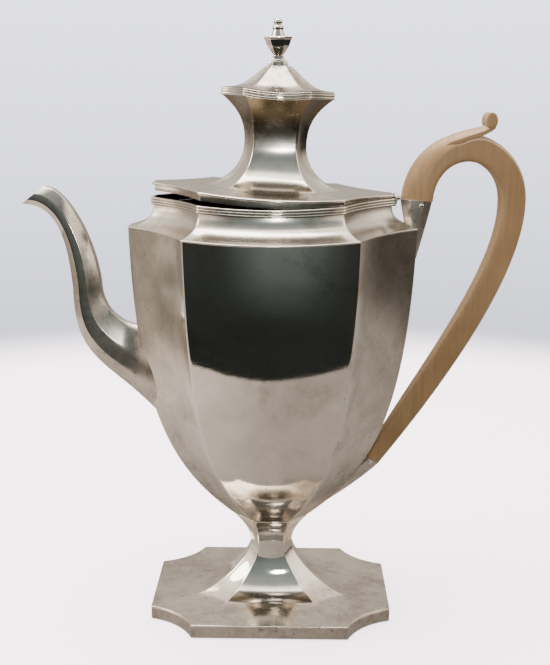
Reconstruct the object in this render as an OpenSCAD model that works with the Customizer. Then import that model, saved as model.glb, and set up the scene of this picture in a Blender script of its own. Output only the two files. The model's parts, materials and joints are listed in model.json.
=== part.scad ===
// Panelled coffee pot with a hinged lid, an octagonal spout and a wooden loop handle.
// Millimetres, +Z up. The origin is at the bottom centre of the foot.
// The spout points to -X, the handle to +X, and the wide panels face -Y and +Y.

/* [Foot] */
// Width of the foot from end to end
foot_w = 120; // [112:1:128]
// Depth of the foot from front to back
foot_d = 92.4; // [86:0.2:100]
// Length of the straight front edge of the foot
foot_front = 76.4; // [68:0.2:84]
// Length of the straight end edge of the foot
foot_end = 53; // [46:0.5:58]
// Depth of the hollow curve at each corner of the foot
foot_dish = 3.5; // [0:0.5:6]
// Height of the band round the foot
band_h = 6.6; // [5:0.2:9]
// Wall of the flaring foot
foot_wall = 1.6; // [1.2:0.1:2.2]
// Wall of the foot band
band_wall = 1.4; // [1:0.1:2]

/* [Stem] */
// Height of the narrowest part of the stem
waist_z = 33; // [30:0.5:36]
// Width of the stem at its narrowest
waist_w = 20.8; // [19:0.2:23]
// Depth of the stem at its narrowest
waist_d = 17; // [15:0.5:19]
// Width of the stem's front panel at its narrowest
waist_front = 13; // [11:0.5:15]
// Width of the stem's end panel at its narrowest
waist_end = 8; // [6:0.5:10]
// Height of the stem's top
joint_z = 46.8; // [44:0.2:49]
// Width of the stem's top
joint_w = 35.6; // [32:0.2:38]
// Depth of the stem's top
joint_d = 26.8; // [24:0.2:30]
// Width of the front panel at the stem's top
joint_front = 18.4; // [15:0.2:21]
// Width of the end panel at the stem's top
joint_end = 9; // [7:0.5:11]
// Thickness of the ring between stem and body
ring_h = 0.8; // [0.6:0.1:1.4]

/* [Body] */
// Height of the body from the ring to the shoulder edge
body_h = 147.3; // [138:0.1:158]
// Width of the body at the shoulder edge
shoulder_w = 139.6; // [132:0.2:148]
// Depth of the body at the shoulder corners
shoulder_d = 107.5; // [100:0.5:114]
// Width of the front panel at the shoulder
shoulder_front = 78.8; // [70:0.2:86]
// Width of the end panel at the shoulder
shoulder_end = 14; // [13.6:0.2:18]
// How far the front panel bows out
front_bow = 7.7; // [0:0.1:10]
// Depth of the hollow in the canted panels
cant_dish = 3.5; // [0:0.1:5]
// How far the front edges dip at the middle of the panel
panel_dip = 1.2; // [0:0.1:1.6]
// How far out the curve of the body leaves the ring
swell_out = 32.6; // [28:0.1:37]
// How far up the curve of the body leaves the ring
swell_up = 24.2; // [20:0.1:28]
// Length of the upright upper sweep of the body
upper_drop = 92.5; // [80:0.5:100]
// Wall of the body and the shoulder
wall = 1.2; // [0.9:0.1:1.6]
// Width of the strainer holes behind the spout
strainer_hole = 4; // [3:0.2:5]

/* [Shoulder and rim] */
// Height of the edge bead on the shoulder
bead_h = 0.9; // [0.6:0.1:1.4]
// How far the edge bead stands out
bead_out = 0.3; // [0.1:0.1:0.6]
// Height of the shoulder from the body to the rim
neck_h = 11.4; // [9:0.2:14]
// Width of the rim
rim_w = 117.2; // [112:0.2:122]
// Depth of the rim at its corners
rim_d = 90.2; // [86:0.2:96]
// Width of the rim's front panel
rim_front = 66.6; // [60:0.2:72]
// Width of the rim's end panel
rim_end = 13.4; // [13.2:0.2:16]
// How far the rim's front panel bows out
rim_bow = 6.4; // [0:0.1:8]
// Depth of the hollow in the rim's canted panels
rim_dish = 2.9; // [0:0.1:4]
// Height of the rim moulding
rim_h = 3.8; // [3:0.1:4.6]
// Width of the rim moulding from outside to inside
rim_wall = 2.6; // [2.2:0.1:3.2]
// Depth of the groove between the reeds of the rim
reed_groove = 0.7; // [0.3:0.1:1]

/* [Lid] */
// Angle that the lid is lifted
lid_open = 2.7; // [0:0.1:20]
// Gap between the closed lid and the rim
lid_gap = 0.3; // [0.2:0.05:0.5]
// How far the lid's lip stands in from the rim
lip_in = 0.6; // [0.3:0.1:1]
// Height of the lid's lip
lip_h = 1.3; // [1:0.1:2]
// How far the lid plate rises to the spool
plate_rise = 0.4; // [0:0.1:2]
// Height of the bezel under the lid
bezel_h = 4.6; // [3:0.2:7]
// Gap between the bezel and the mouth
bezel_gap = 0.6; // [0.4:0.1:1.2]
// Wall of the bezel, spool, collar and cap
lid_wall = 1.1; // [0.8:0.1:1.4]
// Height of the spool
spool_h = 42.2; // [36:0.2:48]
// Width of the spool's base
spool_w = 60; // [54:0.5:64]
// Depth of the spool's base
spool_d = 46; // [42:0.5:50]
// Width of the front panel at the spool's base
spool_front = 38.4; // [34:0.2:42]
// Height of the spool's waist above its base
spool_waist_z = 20.8; // [18:0.2:24]
// Width of the spool at its waist
spool_waist_w = 28.8; // [26:0.2:32]
// Depth of the spool at its waist
spool_waist_d = 22.4; // [20:0.2:25]
// Width of the front panel at the spool's waist
spool_waist_front = 20; // [16:0.2:22]
// Height of the collar
collar_h = 3.5; // [3:0.1:5]
// Width of the collar
collar_w = 53.8; // [48:0.2:58]
// Depth of the collar
collar_d = 41.4; // [38:0.2:46]
// Width of the collar's front panel
collar_front = 31.5; // [28:0.1:36]
// Width of the end panels of the spool and collar
collar_end = 10.8; // [8:0.2:12]
// Height of the cap
cap_h = 11; // [8:0.2:14]
// Thickness of the cap's edge
cap_edge = 0.3; // [0.2:0.05:0.6]

/* [Finial] */
// Width of the flat on top of the cap
cap_top_w = 11.6; // [10.6:0.2:13]
// Height of the finial's base
base_h = 4.4; // [3:0.1:6]
// Width of the finial's base
base_w = 9.4; // [8.8:0.2:10.4]
// Height of the urn
urn_h = 8.9; // [8:0.1:12]
// Width of the urn at its lip
urn_w = 13.2; // [11:0.2:14]
// Height of the knop with its bead
knop_h = 8.4; // [7:0.1:9.4]
// Width of the knop at its foot
knop_w = 6.6; // [6:0.2:7.4]
// Width of the stud that holds the finial
stud_d = 2; // [1.6:0.1:2.4]
// Width of the nut across its flats
nut_w = 7; // [6:0.2:8]

/* [Hinge] */
// Length of the hinge
hinge_len = 12; // [10.5:0.1:12.6]
// Length of the lid's knuckle
knuckle_len = 5; // [4:0.1:5.6]
// Radius of the knuckles
knuckle_r = 1.6; // [1.4:0.05:1.7]
// Radius of the hinge pin
hinge_pin_r = 0.6; // [0.5:0.05:0.8]
// Running gap between the pin and the lid's knuckle
hinge_fit = 0.04; // [0.02:0.01:0.08]
// How far the hinge axis stands out from the rim
hinge_out = 1; // [0.9:0.1:1.4]

/* [Spout] */
// Height of the lower edge of the spout's root
spout_low = 101.6; // [96:0.2:108]
// Height of the upper edge of the spout's root
spout_high = 146.4; // [140:0.2:150]
// How far the spout's throat stands out from the shoulder
throat_out = 21.7; // [20:0.1:25]
// Height of the spout's throat
throat_z = 165.3; // [162:0.2:170]
// Width of the throat seen from the side
throat_t = 13.8; // [12:0.2:15]
// How far the spout's tip stands out from the shoulder
tip_out = 52.1; // [48:0.1:57]
// Height of the spout's tip
tip_z = 206; // [202:0.5:210]
// Width of the spout's mouth from the tip to its back edge
mouth_l = 11.1; // [10:0.1:13]
// Height of the mouth's back edge above the tip
mouth_rise = 8.4; // [6:0.2:10]
// Width of the root seen from the end
root_w = 16.4; // [15:0.2:19]
// Width of the throat seen from the end
throat_w = 13.2; // [12:0.2:15]
// Width of the mouth seen from the end
mouth_w = 10; // [9:0.2:12]
// Pull of the spout's lower curve away from its root
root_pull = 28.3; // [24:0.1:32]
// Pull of the spout's lower curve below the throat
throat_pull = 34.5; // [31:0.5:38]
// Pull of the spout's lower curve above the throat
beak_pull = 25; // [22:0.5:28]
// Pull of the spout's lower curve behind the tip
tip_pull = 17; // [14:0.5:20]
// Pull of the spout's upper curve away from its root
crook_pull = 11.5; // [10:0.5:13]
// Pull of the spout's upper curve below the throat
nape_pull = 10.6; // [9:0.2:12]
// Pull of the spout's upper curve above the throat
neck_pull = 21.5; // [19:0.5:24]
// Pull of the spout's upper curve behind the mouth
mouth_pull = 10.7; // [9:0.1:12]
// Wall of the spout
spout_wall = 1.1; // [0.9:0.1:1.4]

/* [Handle] */
// How far the handle reaches out from the shoulder
handle_reach = 52.1; // [48:0.1:57]
// Height of the centre of the handle's crest
crest_z = 234.2; // [230:0.2:240]
// How far the crest stands out from the shoulder
crest_out = 21.2; // [18:0.2:25]
// Height of the handle's widest reach
reach_z = 208; // [200:1:214]
// Height of the lower end of the handle
foot_end_z = 77.4; // [72:0.2:82]
// How far the middle of the handle's lower end stands out from the body
foot_end_out = 5.1; // [4.7:0.1:6.4]
// Gap between the lid hinge and the handle
handle_gap = 0.6; // [0.4:0.1:1.2]
// How far the middle of the upper socket may stand inside the shoulder edge
socket_in = 0.5; // [0.2:0.1:0.8]
// Pull of the handle's line above the upper joint
rise_pull = 12.5; // [10:0.5:15]
// Pull of the handle's line before the crest
crest_pull = 13; // [11:0.5:15]
// Pull of the handle's line after the crest
brow_pull = 11; // [9:0.5:13]
// Pull of the handle's line above its widest reach
reach_pull = 18; // [15:0.5:20]
// Pull of the handle's line below its widest reach
back_pull = 35.3; // [31:0.1:39]
// Pull of the handle's line above the lower joint
foot_pull = 47.4; // [43:0.2:51]
// How far the thumb scroll stands out from the crest
scroll_out = 12.4; // [11:0.2:14]
// How far the thumb scroll stands above the centre of the crest
scroll_up = 12.2; // [11.4:0.1:13]
// How far the upper socket's tail runs down from the shoulder
tail_drop = 14.6; // [12:0.2:17]
// Thickness of the handle at its upper end
upper_t = 15; // [13:0.2:15.4]
// Thickness of the handle at its crest
crest_t = 13.2; // [12:0.2:16]
// Thickness of the handle at its widest reach
reach_t = 12.2; // [11:0.2:15]
// Thickness of the handle at its lower end
lower_t = 7.2; // [6.4:0.2:8]
// Width of the handle from front to back at the crest
grip_w = 14; // [12:0.2:16]
// Width of the handle from front to back at the upper socket
upper_w = 13; // [11:0.2:13.4]
// Width of the handle from front to back at the lower socket
lower_w = 9.6; // [8.4:0.2:11]
// Radius of the thumb scroll
scroll_r = 3.2; // [2.8:0.1:4]
// Gap round the tenons
tenon_fit = 0.1; // [0.05:0.01:0.2]
// Radius of the upper pin
upper_pin_r = 1.3; // [1:0.1:1.5]
// Radius of the lower pin
lower_pin_r = 1; // [0.7:0.1:1.1]
// How far the pins stand proud
pin_proud = 0.3; // [0.1:0.1:0.6]

/* [Hidden] */

// hairline between soldered pieces
seam = 0.03;
// steps round a canted panel and a front panel
cant_steps = 4;
face_steps = 8;
silver = [0.80, 0.77, 0.72];
wood = [0.66, 0.47, 0.27];

// heights stacked from the table up
ring_z = joint_z + seam;
body_z = ring_z + ring_h + seam;
shoulder_z = body_z + body_h;
neck_z = shoulder_z + neck_h;
rim_z = neck_z + rim_h;
lid_z = rim_z + lid_gap;
spool_z = lid_z + lip_h + plate_rise;
collar_z = spool_z + spool_h;
cap_z = collar_z + collar_h;
base_z = cap_z + cap_h;
urn_z = base_z + base_h;
knop_z = urn_z + urn_h;
hinge_x = rim_w / 2 + hinge_out;
hinge_z = lid_z - 0.1;

// a plan is half width, half front panel, half depth, half end panel, bow and hollow
foot_plan = [foot_w / 2, foot_front / 2, foot_d / 2, foot_end / 2, 0, foot_dish];
waist_plan = [waist_w / 2, waist_front / 2, waist_d / 2, waist_end / 2, 0, 0.3];
joint_plan = [joint_w / 2, joint_front / 2, joint_d / 2, joint_end / 2, 0.8, 0.5];
shoulder_plan = [shoulder_w / 2, shoulder_front / 2, shoulder_d / 2, shoulder_end / 2,
    front_bow, cant_dish];
rim_plan = [rim_w / 2, rim_front / 2, rim_d / 2, rim_end / 2, rim_bow, rim_dish];
neck_plan = inset(rim_plan, rim_wall - wall);
lid_plan = inset(rim_plan, lip_in);
spool_plan = [spool_w / 2, spool_front / 2, spool_d / 2, collar_end / 2, 3, 1.4];
spool_waist = [spool_waist_w / 2, spool_waist_front / 2, spool_waist_d / 2, collar_end / 2 - 2.4, 1.2, 0.4];
collar_plan = [collar_w / 2, collar_front / 2, collar_d / 2, collar_end / 2, 3, 1.3];
cap_plan = [cap_top_w / 2, cap_top_w * 0.3, cap_top_w * 0.4, cap_top_w * 0.2, 0.3, 0.2];
base_plan = [base_w / 2, base_w * 0.3, base_w * 0.4, base_w * 0.2, 0.3, 0.2];
urn_plan = [urn_w / 2, urn_w * 0.3, urn_w * 0.4, urn_w * 0.2, 0.5, 0.2];

function mix(a, b, t) = a + (b - a) * t;
function bez(p, t) =
    pow(1 - t, 3) * p[0] + 3 * t * pow(1 - t, 2) * p[1] + 3 * t * t * (1 - t) * p[2] + pow(t, 3) * p[3];
function bez_dir(p, t) =
    let (d = pow(1 - t, 2) * (p[1] - p[0]) + 2 * t * (1 - t) * (p[2] - p[1]) + t * t * (p[3] - p[2]))
    d / norm(d);

// the plan of half width w on the way from plan a to plan b
function plan_at(a, b, w, ease = 1) =
    let (p = mix(a, b, pow((w - a[0]) / (b[0] - a[0]), ease)))
    [w, p[1], p[2], p[3], p[4], p[5]];
function resized(p, k) = [for (v = p) v * k];
// the plan moved in by t on every side
function inset(p, t) =
    let (d = [p[2] - p[3], p[0] - p[1]], n = d / norm(d))
    [p[0] - t, p[1] - t * n[0] / (1 + n[1]), p[2] - t, p[3] - t * n[1] / (1 + n[0]), p[4], p[5]];

// a point on the canted panel, from the end panel at t = 0 to the front panel at t = 1
function cant_point(p, t) =
    let (d = [p[1] - p[0], p[2] - p[3]], n = [-d[1], d[0]] / norm(d))
    [p[0], p[3]] + t * d + 4 * p[5] * t * (1 - t) * n;
function half_outline(p) =
    let (cant = [for (i = [0 : cant_steps]) cant_point(p, i / cant_steps)])
    concat(cant,
        [for (i = [1 : face_steps - 1])
            let (u = 1 - 2 * i / face_steps) [p[1] * u, p[2] + p[4] * (1 - u * u)]],
        [for (i = [cant_steps : -1 : 0]) [-cant[i][0], cant[i][1]]]);
function outline(p) = let (half = half_outline(p)) concat(half, [for (q = half) -q]);
function sag(q, p) = abs(q[0]) < p[1] ? 1 - pow(q[0] / p[1], 2) : 0;
function ring(p, z, dip = 0) = [for (q = outline(p)) [q[0], q[1], z - dip * sag(q, p)]];
// rings of one plan, each pair giving how far in and how high
function stack(p, steps, z, dip = 0) = [for (s = steps) ring(inset(p, s[0]), z + s[1], dip)];

function side_faces(m, n, closed) =
    [for (i = [0 : m - (closed ? 1 : 2)], j = [0 : n - 1])
        let (a = i * n + j, b = i * n + (j + 1) % n, k = ((i + 1) % m) * n)
        each [[a, k + j, k + (j + 1) % n], [a, k + (j + 1) % n, b]]];

// a solid whose rings run up the outside and back down the inside
module hollow_loft(rings) {
    polyhedron(points = [for (r = rings) each r],
        faces = side_faces(len(rings), len(rings[0]), true), convexity = 8);
}

// a solid whose first and last rings are closed
module capped_loft(rings) {
    m = len(rings);
    n = len(rings[0]);
    one = [for (j = [1 : n]) 1 / n];
    polyhedron(points = concat([for (r = rings) each r], [one * rings[0], one * rings[m - 1]]),
        faces = concat(side_faces(m, n, false),
            [for (j = [0 : n - 1]) [m * n, j, (j + 1) % n]],
            [for (j = [0 : n - 1]) [m * n + 1, (m - 1) * n + (j + 1) % n, (m - 1) * n + j]]),
        convexity = 8);
}

// the end profile of the body, from the ring to the shoulder edge, as half width and height
body_steps = 18;
body_curve = [[joint_w / 2 + 0.6, body_z], [joint_w / 2 + 0.6 + swell_out, body_z + swell_up],
    [shoulder_w / 2 - 2.5, shoulder_z - upper_drop], [shoulder_w / 2, shoulder_z]];
function body_plan(w) = plan_at(joint_plan, shoulder_plan, w, 1.12);
function body_dip(w) = panel_dip * (w - joint_plan[0]) / (shoulder_plan[0] - joint_plan[0]);
function body_t(z, lo = 0, hi = 1, n = 24) =
    let (m = (lo + hi) / 2)
    n == 0 ? m : bez(body_curve, m)[1] < z ? body_t(z, m, hi, n - 1) : body_t(z, lo, m, n - 1);
function body_w(z) = bez(body_curve, body_t(z))[0];
// half width of the body's end at height z, y from the middle
function end_x(y, z) =
    let (p = body_plan(body_w(z)))
    lookup(abs(y), concat([[0, p[0]]], [for (i = [0 : cant_steps])
        let (q = cant_point(p, i / cant_steps)) [q[1], q[0]]]));
// the point of a profile moved in by t along its normal
function inward(p, u, t) = let (d = bez_dir(p, u)) bez(p, u) + t * [-d[1], d[0]];

// the outside of the body, grown by t
function body_rings(t) =
    [for (i = [0 : body_steps]) let (c = bez(body_curve, i / body_steps))
        ring(inset(body_plan(c[0]), -t), c[1], body_dip(c[0]))];

module body_shell() {
    inner = [for (i = [body_steps : -1 : 0])
        let (u = i / body_steps, c = bez(body_curve, u), k = inward(body_curve, u, wall), p = body_plan(c[0]))
        ring(inset(p, c[0] - k[0]), min(k[1], shoulder_z), body_dip(c[0]))];
    mid_z = (spout_low + spout_high) / 2;
    color(silver)
    difference() {
        capped_loft(concat(body_rings(0), inner));
        for (row = [-2 : 1 : 2], side = [-1, 1])
            translate([-body_w(mid_z) + 14, side * 3.2, mid_z + row * 6.4])
                rotate([0, -90, 0])
                    cylinder(d = strainer_hole, h = 40, $fn = 32);
    }
}

neck_steps = 8;
neck_curve = [[shoulder_w / 2, shoulder_z + bead_h], [shoulder_w / 2 - 7.4, shoulder_z + bead_h + 0.2],
    [neck_plan[0] + 0.8, neck_z - 6], [neck_plan[0], neck_z]];
function neck_at(w) = plan_at(shoulder_plan, neck_plan, w);

module shoulder() {
    edge = inset(shoulder_plan, -bead_out);
    color(silver)
    hollow_loft(concat(
        [ring(edge, shoulder_z + seam, panel_dip), ring(edge, shoulder_z + bead_h, panel_dip)],
        [for (i = [0 : neck_steps]) let (c = bez(neck_curve, i / neck_steps))
            ring(neck_at(c[0]), c[1], panel_dip)],
        [for (i = [neck_steps : -1 : 2])
            let (c = bez(neck_curve, i / neck_steps), k = inward(neck_curve, i / neck_steps, wall))
            ring(inset(neck_at(c[0]), c[0] - k[0]), min(k[1], neck_z), panel_dip)],
        [ring(inset(shoulder_plan, wall), shoulder_z + seam, panel_dip)]));
}

notch_y = hinge_len / 2 + 0.4;
rim_notch_x = rim_w / 2 - 1.3;

module rim_moulding() {
    color(silver)
    difference() {
        hollow_loft(stack(rim_plan, [[1, seam], [0, 0.5], [0, rim_h * 0.35], [reed_groove, rim_h * 0.45],
            [0, rim_h * 0.55], [0, rim_h - 0.5], [0.6, rim_h], [rim_wall, rim_h], [rim_wall, seam]],
            neck_z, panel_dip));
        translate([rim_notch_x, -notch_y, neck_z - 1])
            cube([10, notch_y * 2, rim_h + 2]);
    }
}

module stem_ring() {
    color(silver)
    capped_loft(stack(joint_plan, [[0, 0], [-0.25, ring_h * 0.3], [-0.25, ring_h * 0.7], [-0.1, ring_h]],
        ring_z));
}

flare_steps = 10;
flare_curve = [[waist_w / 2, waist_z], [waist_w / 2, waist_z - 11], [24, band_h + 3.4], [44, band_h + 0.6]];
stem_curve = [[waist_w / 2, waist_z], [waist_w / 2, waist_z + 5], [joint_w / 2 - 4.2, joint_z - 4],
    [joint_w / 2, joint_z]];
function foot_at(w) = plan_at(waist_plan, foot_plan, w);
function stem_at(w) = plan_at(waist_plan, joint_plan, w);

module pedestal() {
    lip = band_wall + 0.1;
    color(silver)
    capped_loft(concat(
        [for (i = [1 : flare_steps])
            let (c = bez(flare_curve, i / flare_steps), k = inward(flare_curve, i / flare_steps, -foot_wall))
            ring(inset(foot_at(c[0]), c[0] - k[0]), k[1])],
        stack(foot_plan, [[lip + wall, band_h - 1], [lip, band_h - 1], [lip, band_h + seam],
            [0, band_h + seam], [0, band_h + 0.1]], 0),
        [for (i = [flare_steps : -1 : 0]) let (c = bez(flare_curve, i / flare_steps))
            ring(foot_at(c[0]), c[1])],
        [for (i = [1 : 6]) let (c = bez(stem_curve, i / 6)) ring(stem_at(c[0]), c[1])]));
}

module foot_band() {
    color(silver)
    hollow_loft(stack(foot_plan, [[0.3, 0], [0, 0.3], [0, band_h - 0.3], [0.2, band_h], [band_wall, band_h],
        [band_wall, 0]], 0));
}

// an octagon across a limb: first number along its thickness, second from front to back
eight = [[1, -0.5], [1, 0.5], [0.42, 1], [-0.42, 1], [-1, 0.5], [-1, -0.5], [-0.42, -1], [0.42, -1]];
// the octagon between edge points a and b, each x and z, with half width y
function limb_ring(a, b, y) =
    let (c = (a + b) / 2, r = (b - a) / 2)
    [for (e = eight) [c[0] + r[0] * e[0], y * e[1], c[1] + r[1] * e[0]]];
// the same about a path point with direction d and half thickness t
function path_ring(c, d, t, y) = let (n = [d[1], -d[0]]) limb_ring(c - n * t, c + n * t, y);

spout_steps = 9;
// hairline round the root, and how far the spout runs on before it is cut to the body
root_gap = 0.1;
root_sink = 1.5;
throat = [-shoulder_w / 2 - throat_out, throat_z];
throat_lo = throat - [throat_t / 2, 0.9];
throat_hi = throat + [throat_t / 2, 0.9];
tip = [-shoulder_w / 2 - tip_out, tip_z];
mouth_back = tip + [mouth_l, mouth_rise];
root_lo = [-body_w(spout_low), spout_low];
root_hi = [-body_w(spout_high), spout_high];
low_root = [root_lo, root_lo + root_pull * [-1, 1], throat_lo - [0, throat_pull], throat_lo];
low_tip = [throat_lo, throat_lo + beak_pull * [-0.08, 1], tip + [tip_pull, 0], tip];
high_root = [root_hi, root_hi + crook_pull * [-1, 0.13], throat_hi + nape_pull * [0.06, -1], throat_hi];
high_tip = [throat_hi, throat_hi + neck_pull * [-0.075, 1], mouth_back + mouth_pull * [1, 0.05], mouth_back];

// a ring of the spout moved in by t
function spout_ring(a, b, y, t) = let (d = (b - a) / norm(b - a) * t) limb_ring(a + d, b - d, y - t);
function spout_root(t) =
    [for (e = eight)
        let (y = (root_w / 2 - t) * e[1], z = mix(spout_low + t, spout_high - t, (e[0] + 1) / 2))
        [root_sink - end_x(y, z), y, z]];
function spout_rings(t) = concat([spout_root(t)],
    [for (i = [1 : spout_steps]) let (u = i / spout_steps)
        spout_ring(bez(low_root, u), bez(high_root, u), mix(root_w, throat_w, pow(u, 0.8)) / 2, t)],
    [for (i = [1 : spout_steps]) let (u = i / spout_steps)
        spout_ring(bez(low_tip, u), bez(high_tip, u), mix(throat_w, mouth_w, u) / 2, t)]);

module spout() {
    inner = spout_rings(spout_wall);
    color(silver)
    difference() {
        hollow_loft(concat(spout_rings(0), [for (i = [len(inner) - 1 : -1 : 0]) inner[i]]));
        capped_loft(body_rings(root_gap));
    }
}

// the upper joint clears the hinge, and its socket stays outside the shoulder edge
handle_start = [max(hinge_x + knuckle_r + handle_gap + upper_t / 2, shoulder_w / 2 - socket_in), rim_z - 1];
crest = [shoulder_w / 2 + crest_out, crest_z];
reach = [shoulder_w / 2 + handle_reach - reach_t / 2, reach_z];
handle_stop = [body_w(foot_end_z) + foot_end_out, foot_end_z];
grip_a = [handle_start, handle_start + rise_pull * [0.064, 1], crest - crest_pull * [1, 0.092], crest];
grip_b = [crest, crest + brow_pull * [1, 0.091], reach + reach_pull * [0.011, 1], reach];
grip_c = [reach, reach + back_pull * [0.023, -1], handle_stop + foot_pull * [0.544, 0.839], handle_stop];
start_dir = bez_dir(grip_a, 0);
stop_dir = bez_dir(grip_c, 1);
scroll = crest + [scroll_out, scroll_up];
leaf = [crest + scroll_out * [-0.81, 0.03], crest + scroll_out * [-0.16, 0.39],
    crest + scroll_out * [0.61, 0.44], scroll + [0.2, -1.4]];

// the tenons, grown by t
function upper_tenon(t) =
    [path_ring(handle_start - start_dir * (9 + t), start_dir, 3.9 + t, 3.4 + t),
        path_ring(handle_start, start_dir, upper_t / 2 - 1.9 + t, upper_w / 2 - 1.6 + t)];
function lower_tenon(t) =
    [path_ring(handle_stop, stop_dir, lower_t / 2 - 1.2 + t, lower_w / 2 - 1.4 + t),
        path_ring(handle_stop + stop_dir * (5 + t), stop_dir, 1.9 + t, lower_w / 2 - 1.6 + t)];

upper_pin_at = handle_start - start_dir * 2.6 + [2.2, 0];
lower_pin_at = handle_stop + stop_dir * 1.8 + [stop_dir[1], -stop_dir[0]] * 0.5;

// a pin along Y through point c, x and z
module cross_pin(c, r, h) {
    translate([c[0], 0, c[1]])
        rotate([90, 0, 0])
            cylinder(r = r, h = h, center = true, $fn = 48);
}

module handle() {
    color(wood)
    difference() {
        union() {
            capped_loft(concat(
                upper_tenon(0),
                [for (i = [0 : 8]) let (u = i / 8)
                    path_ring(bez(grip_a, u), bez_dir(grip_a, u), mix(upper_t, crest_t, u) / 2,
                        mix(upper_w, grip_w, u) / 2)],
                [for (i = [1 : 9]) let (u = i / 9)
                    path_ring(bez(grip_b, u), bez_dir(grip_b, u), mix(crest_t, reach_t, u) / 2,
                        grip_w / 2)],
                [for (i = [1 : 16]) let (u = i / 16)
                    path_ring(bez(grip_c, u), bez_dir(grip_c, u),
                        bez([reach_t, reach_t * 0.88, lower_t * 2.05, lower_t], u) / 2,
                        mix(grip_w, lower_w, u) / 2)],
                lower_tenon(0)));
            capped_loft([for (i = [0 : 8]) let (u = i / 8)
                path_ring(bez(leaf, u), bez_dir(leaf, u), mix(2.8, 1.6, u), grip_w / 2 - 0.4)]);
            cross_pin(scroll, scroll_r, grip_w - 0.4);
        }
        cross_pin(upper_pin_at, upper_pin_r + seam, 40);
        cross_pin(lower_pin_at, lower_pin_r + seam, 40);
    }
}

// everything inside the end profile of the body and the shoulder
module end_block() {
    rotate([90, 0, 0])
        linear_extrude(height = 30, center = true)
            polygon(concat([[0, body_z]],
                [for (i = [0 : body_steps]) bez(body_curve, i / body_steps) + [seam, 0]],
                [for (z = [shoulder_z, shoulder_z + bead_h + seam]) [shoulder_w / 2 + bead_out + seam, z]],
                [for (i = [1 : neck_steps]) bez(neck_curve, i / neck_steps) + [seam, seam]],
                [[0, neck_z]]));
}

module upper_socket() {
    top = handle_start - start_dir * seam;
    n = [start_dir[1], -start_dir[0]] * upper_t / 2;
    tail = [shoulder_w / 2 + 0.4, shoulder_z - tail_drop];
    inner = [top - n, handle_start - upper_t * [0.367, 0.713], handle_start - upper_t * [0.233, 1.267],
        tail + [-2.6, -0.4]];
    outer = [top + n, handle_start + upper_t * [0.4, -0.547], handle_start + upper_t * [0.233, -1.213], tail];
    color(silver)
    difference() {
        capped_loft([for (i = [0 : 10]) let (u = i / 10)
            limb_ring(bez(outer, u), bez(inner, u), bez([upper_w / 2, upper_w / 2 - 1, 4, 1.8], u))]);
        end_block();
        capped_loft(upper_tenon(tenon_fit));
        cross_pin(upper_pin_at, upper_pin_r + seam, 40);
    }
}

module lower_socket() {
    top = handle_stop + stop_dir * seam;
    n = [stop_dir[1], -stop_dir[0]] * lower_t / 2;
    tail_z = body_z + 2.4;
    tail = [body_w(tail_z) + 0.8, tail_z];
    outer = [top - n, handle_stop - lower_t * [0.833, 1.528], tail + lower_t * [1.861, 1.292], tail];
    inner = [top + n, handle_stop - lower_t * [1.667, 0.486], tail + lower_t * [0.972, 2.222],
        tail + lower_t * [-0.556, 0.611]];
    color(silver)
    difference() {
        capped_loft([for (i = [0 : 12]) let (u = i / 12)
            limb_ring(bez(outer, u), bez(inner, u), mix(lower_w / 2, 2.4, u))]);
        end_block();
        capped_loft(lower_tenon(tenon_fit));
        cross_pin(lower_pin_at, lower_pin_r + seam, 40);
    }
}

module upper_pin() {
    color(silver)
    cross_pin(upper_pin_at, upper_pin_r, upper_w + 2 * pin_proud);
}

module lower_pin() {
    color(silver)
    cross_pin(lower_pin_at, lower_pin_r, lower_w + 2 * pin_proud);
}

// a piece of the hinge barrel of length h about y
module knuckle(y, h, r) {
    translate([hinge_x, y, hinge_z])
        rotate([90, 0, 0])
            cylinder(r = r, h = h, center = true, $fn = 48);
}

side_len = (hinge_len - knuckle_len) / 2 - 0.3;
side_y = (hinge_len - side_len) / 2;

module rim_hinge() {
    x = rim_notch_x + seam;
    color(silver)
    difference() {
        union() {
            translate([x, -notch_y + seam, neck_z + seam])
                cube([hinge_x - 0.6 - x, 2 * (notch_y - seam), hinge_z - knuckle_r - 0.4 - neck_z]);
            for (side = [-1, 1]) {
                knuckle(side * side_y, side_len, knuckle_r);
                translate([x, side * side_y - side_len / 2, neck_z + 1])
                    cube([hinge_x - x, side_len, rim_h - 1]);
            }
        }
        knuckle(0, hinge_len + 2, hinge_pin_r + 0.02);
    }
}

module hinge_pin() {
    color(silver)
    knuckle(0, hinge_len + 0.6, hinge_pin_r);
}

// carries a piece of the closed lid to its lifted place
module lifted() {
    translate([hinge_x, 0, hinge_z])
        rotate([0, lid_open, 0])
            translate([-hinge_x, 0, -hinge_z])
                children();
}

lid_notch_x = hinge_x - knuckle_r - 1.3;

module lid_hinge() {
    x = lid_notch_x + seam;
    color(silver)
    lifted()
    difference() {
        union() {
            translate([x, -notch_y + seam, lid_z + 0.1])
                cube([hinge_x - knuckle_r - 0.3 - x, 2 * (notch_y - seam), lip_h - 0.1]);
            translate([x, -knuckle_len / 2, lid_z + 0.1])
                cube([hinge_x - x, knuckle_len, lip_h - 0.1]);
            knuckle(0, knuckle_len, knuckle_r);
        }
        knuckle(0, hinge_len, hinge_pin_r + hinge_fit);
    }
}

module lid_plate() {
    hole = inset(spool_plan, lid_wall + 0.3);
    color(silver)
    lifted()
    difference() {
        hollow_loft(concat(
            stack(lid_plan, [[1.6, 0.1], [0.6, 0], [0, 0.4], [0, lip_h - 0.3], [0.6, lip_h]], lid_z,
                panel_dip),
            [ring(spool_plan, spool_z, panel_dip), ring(hole, spool_z, panel_dip),
                ring(hole, lid_z + 0.1, panel_dip)]));
        translate([lid_notch_x, -notch_y, lid_z - 1])
            cube([10, 2 * notch_y, 4]);
    }
}

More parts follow.
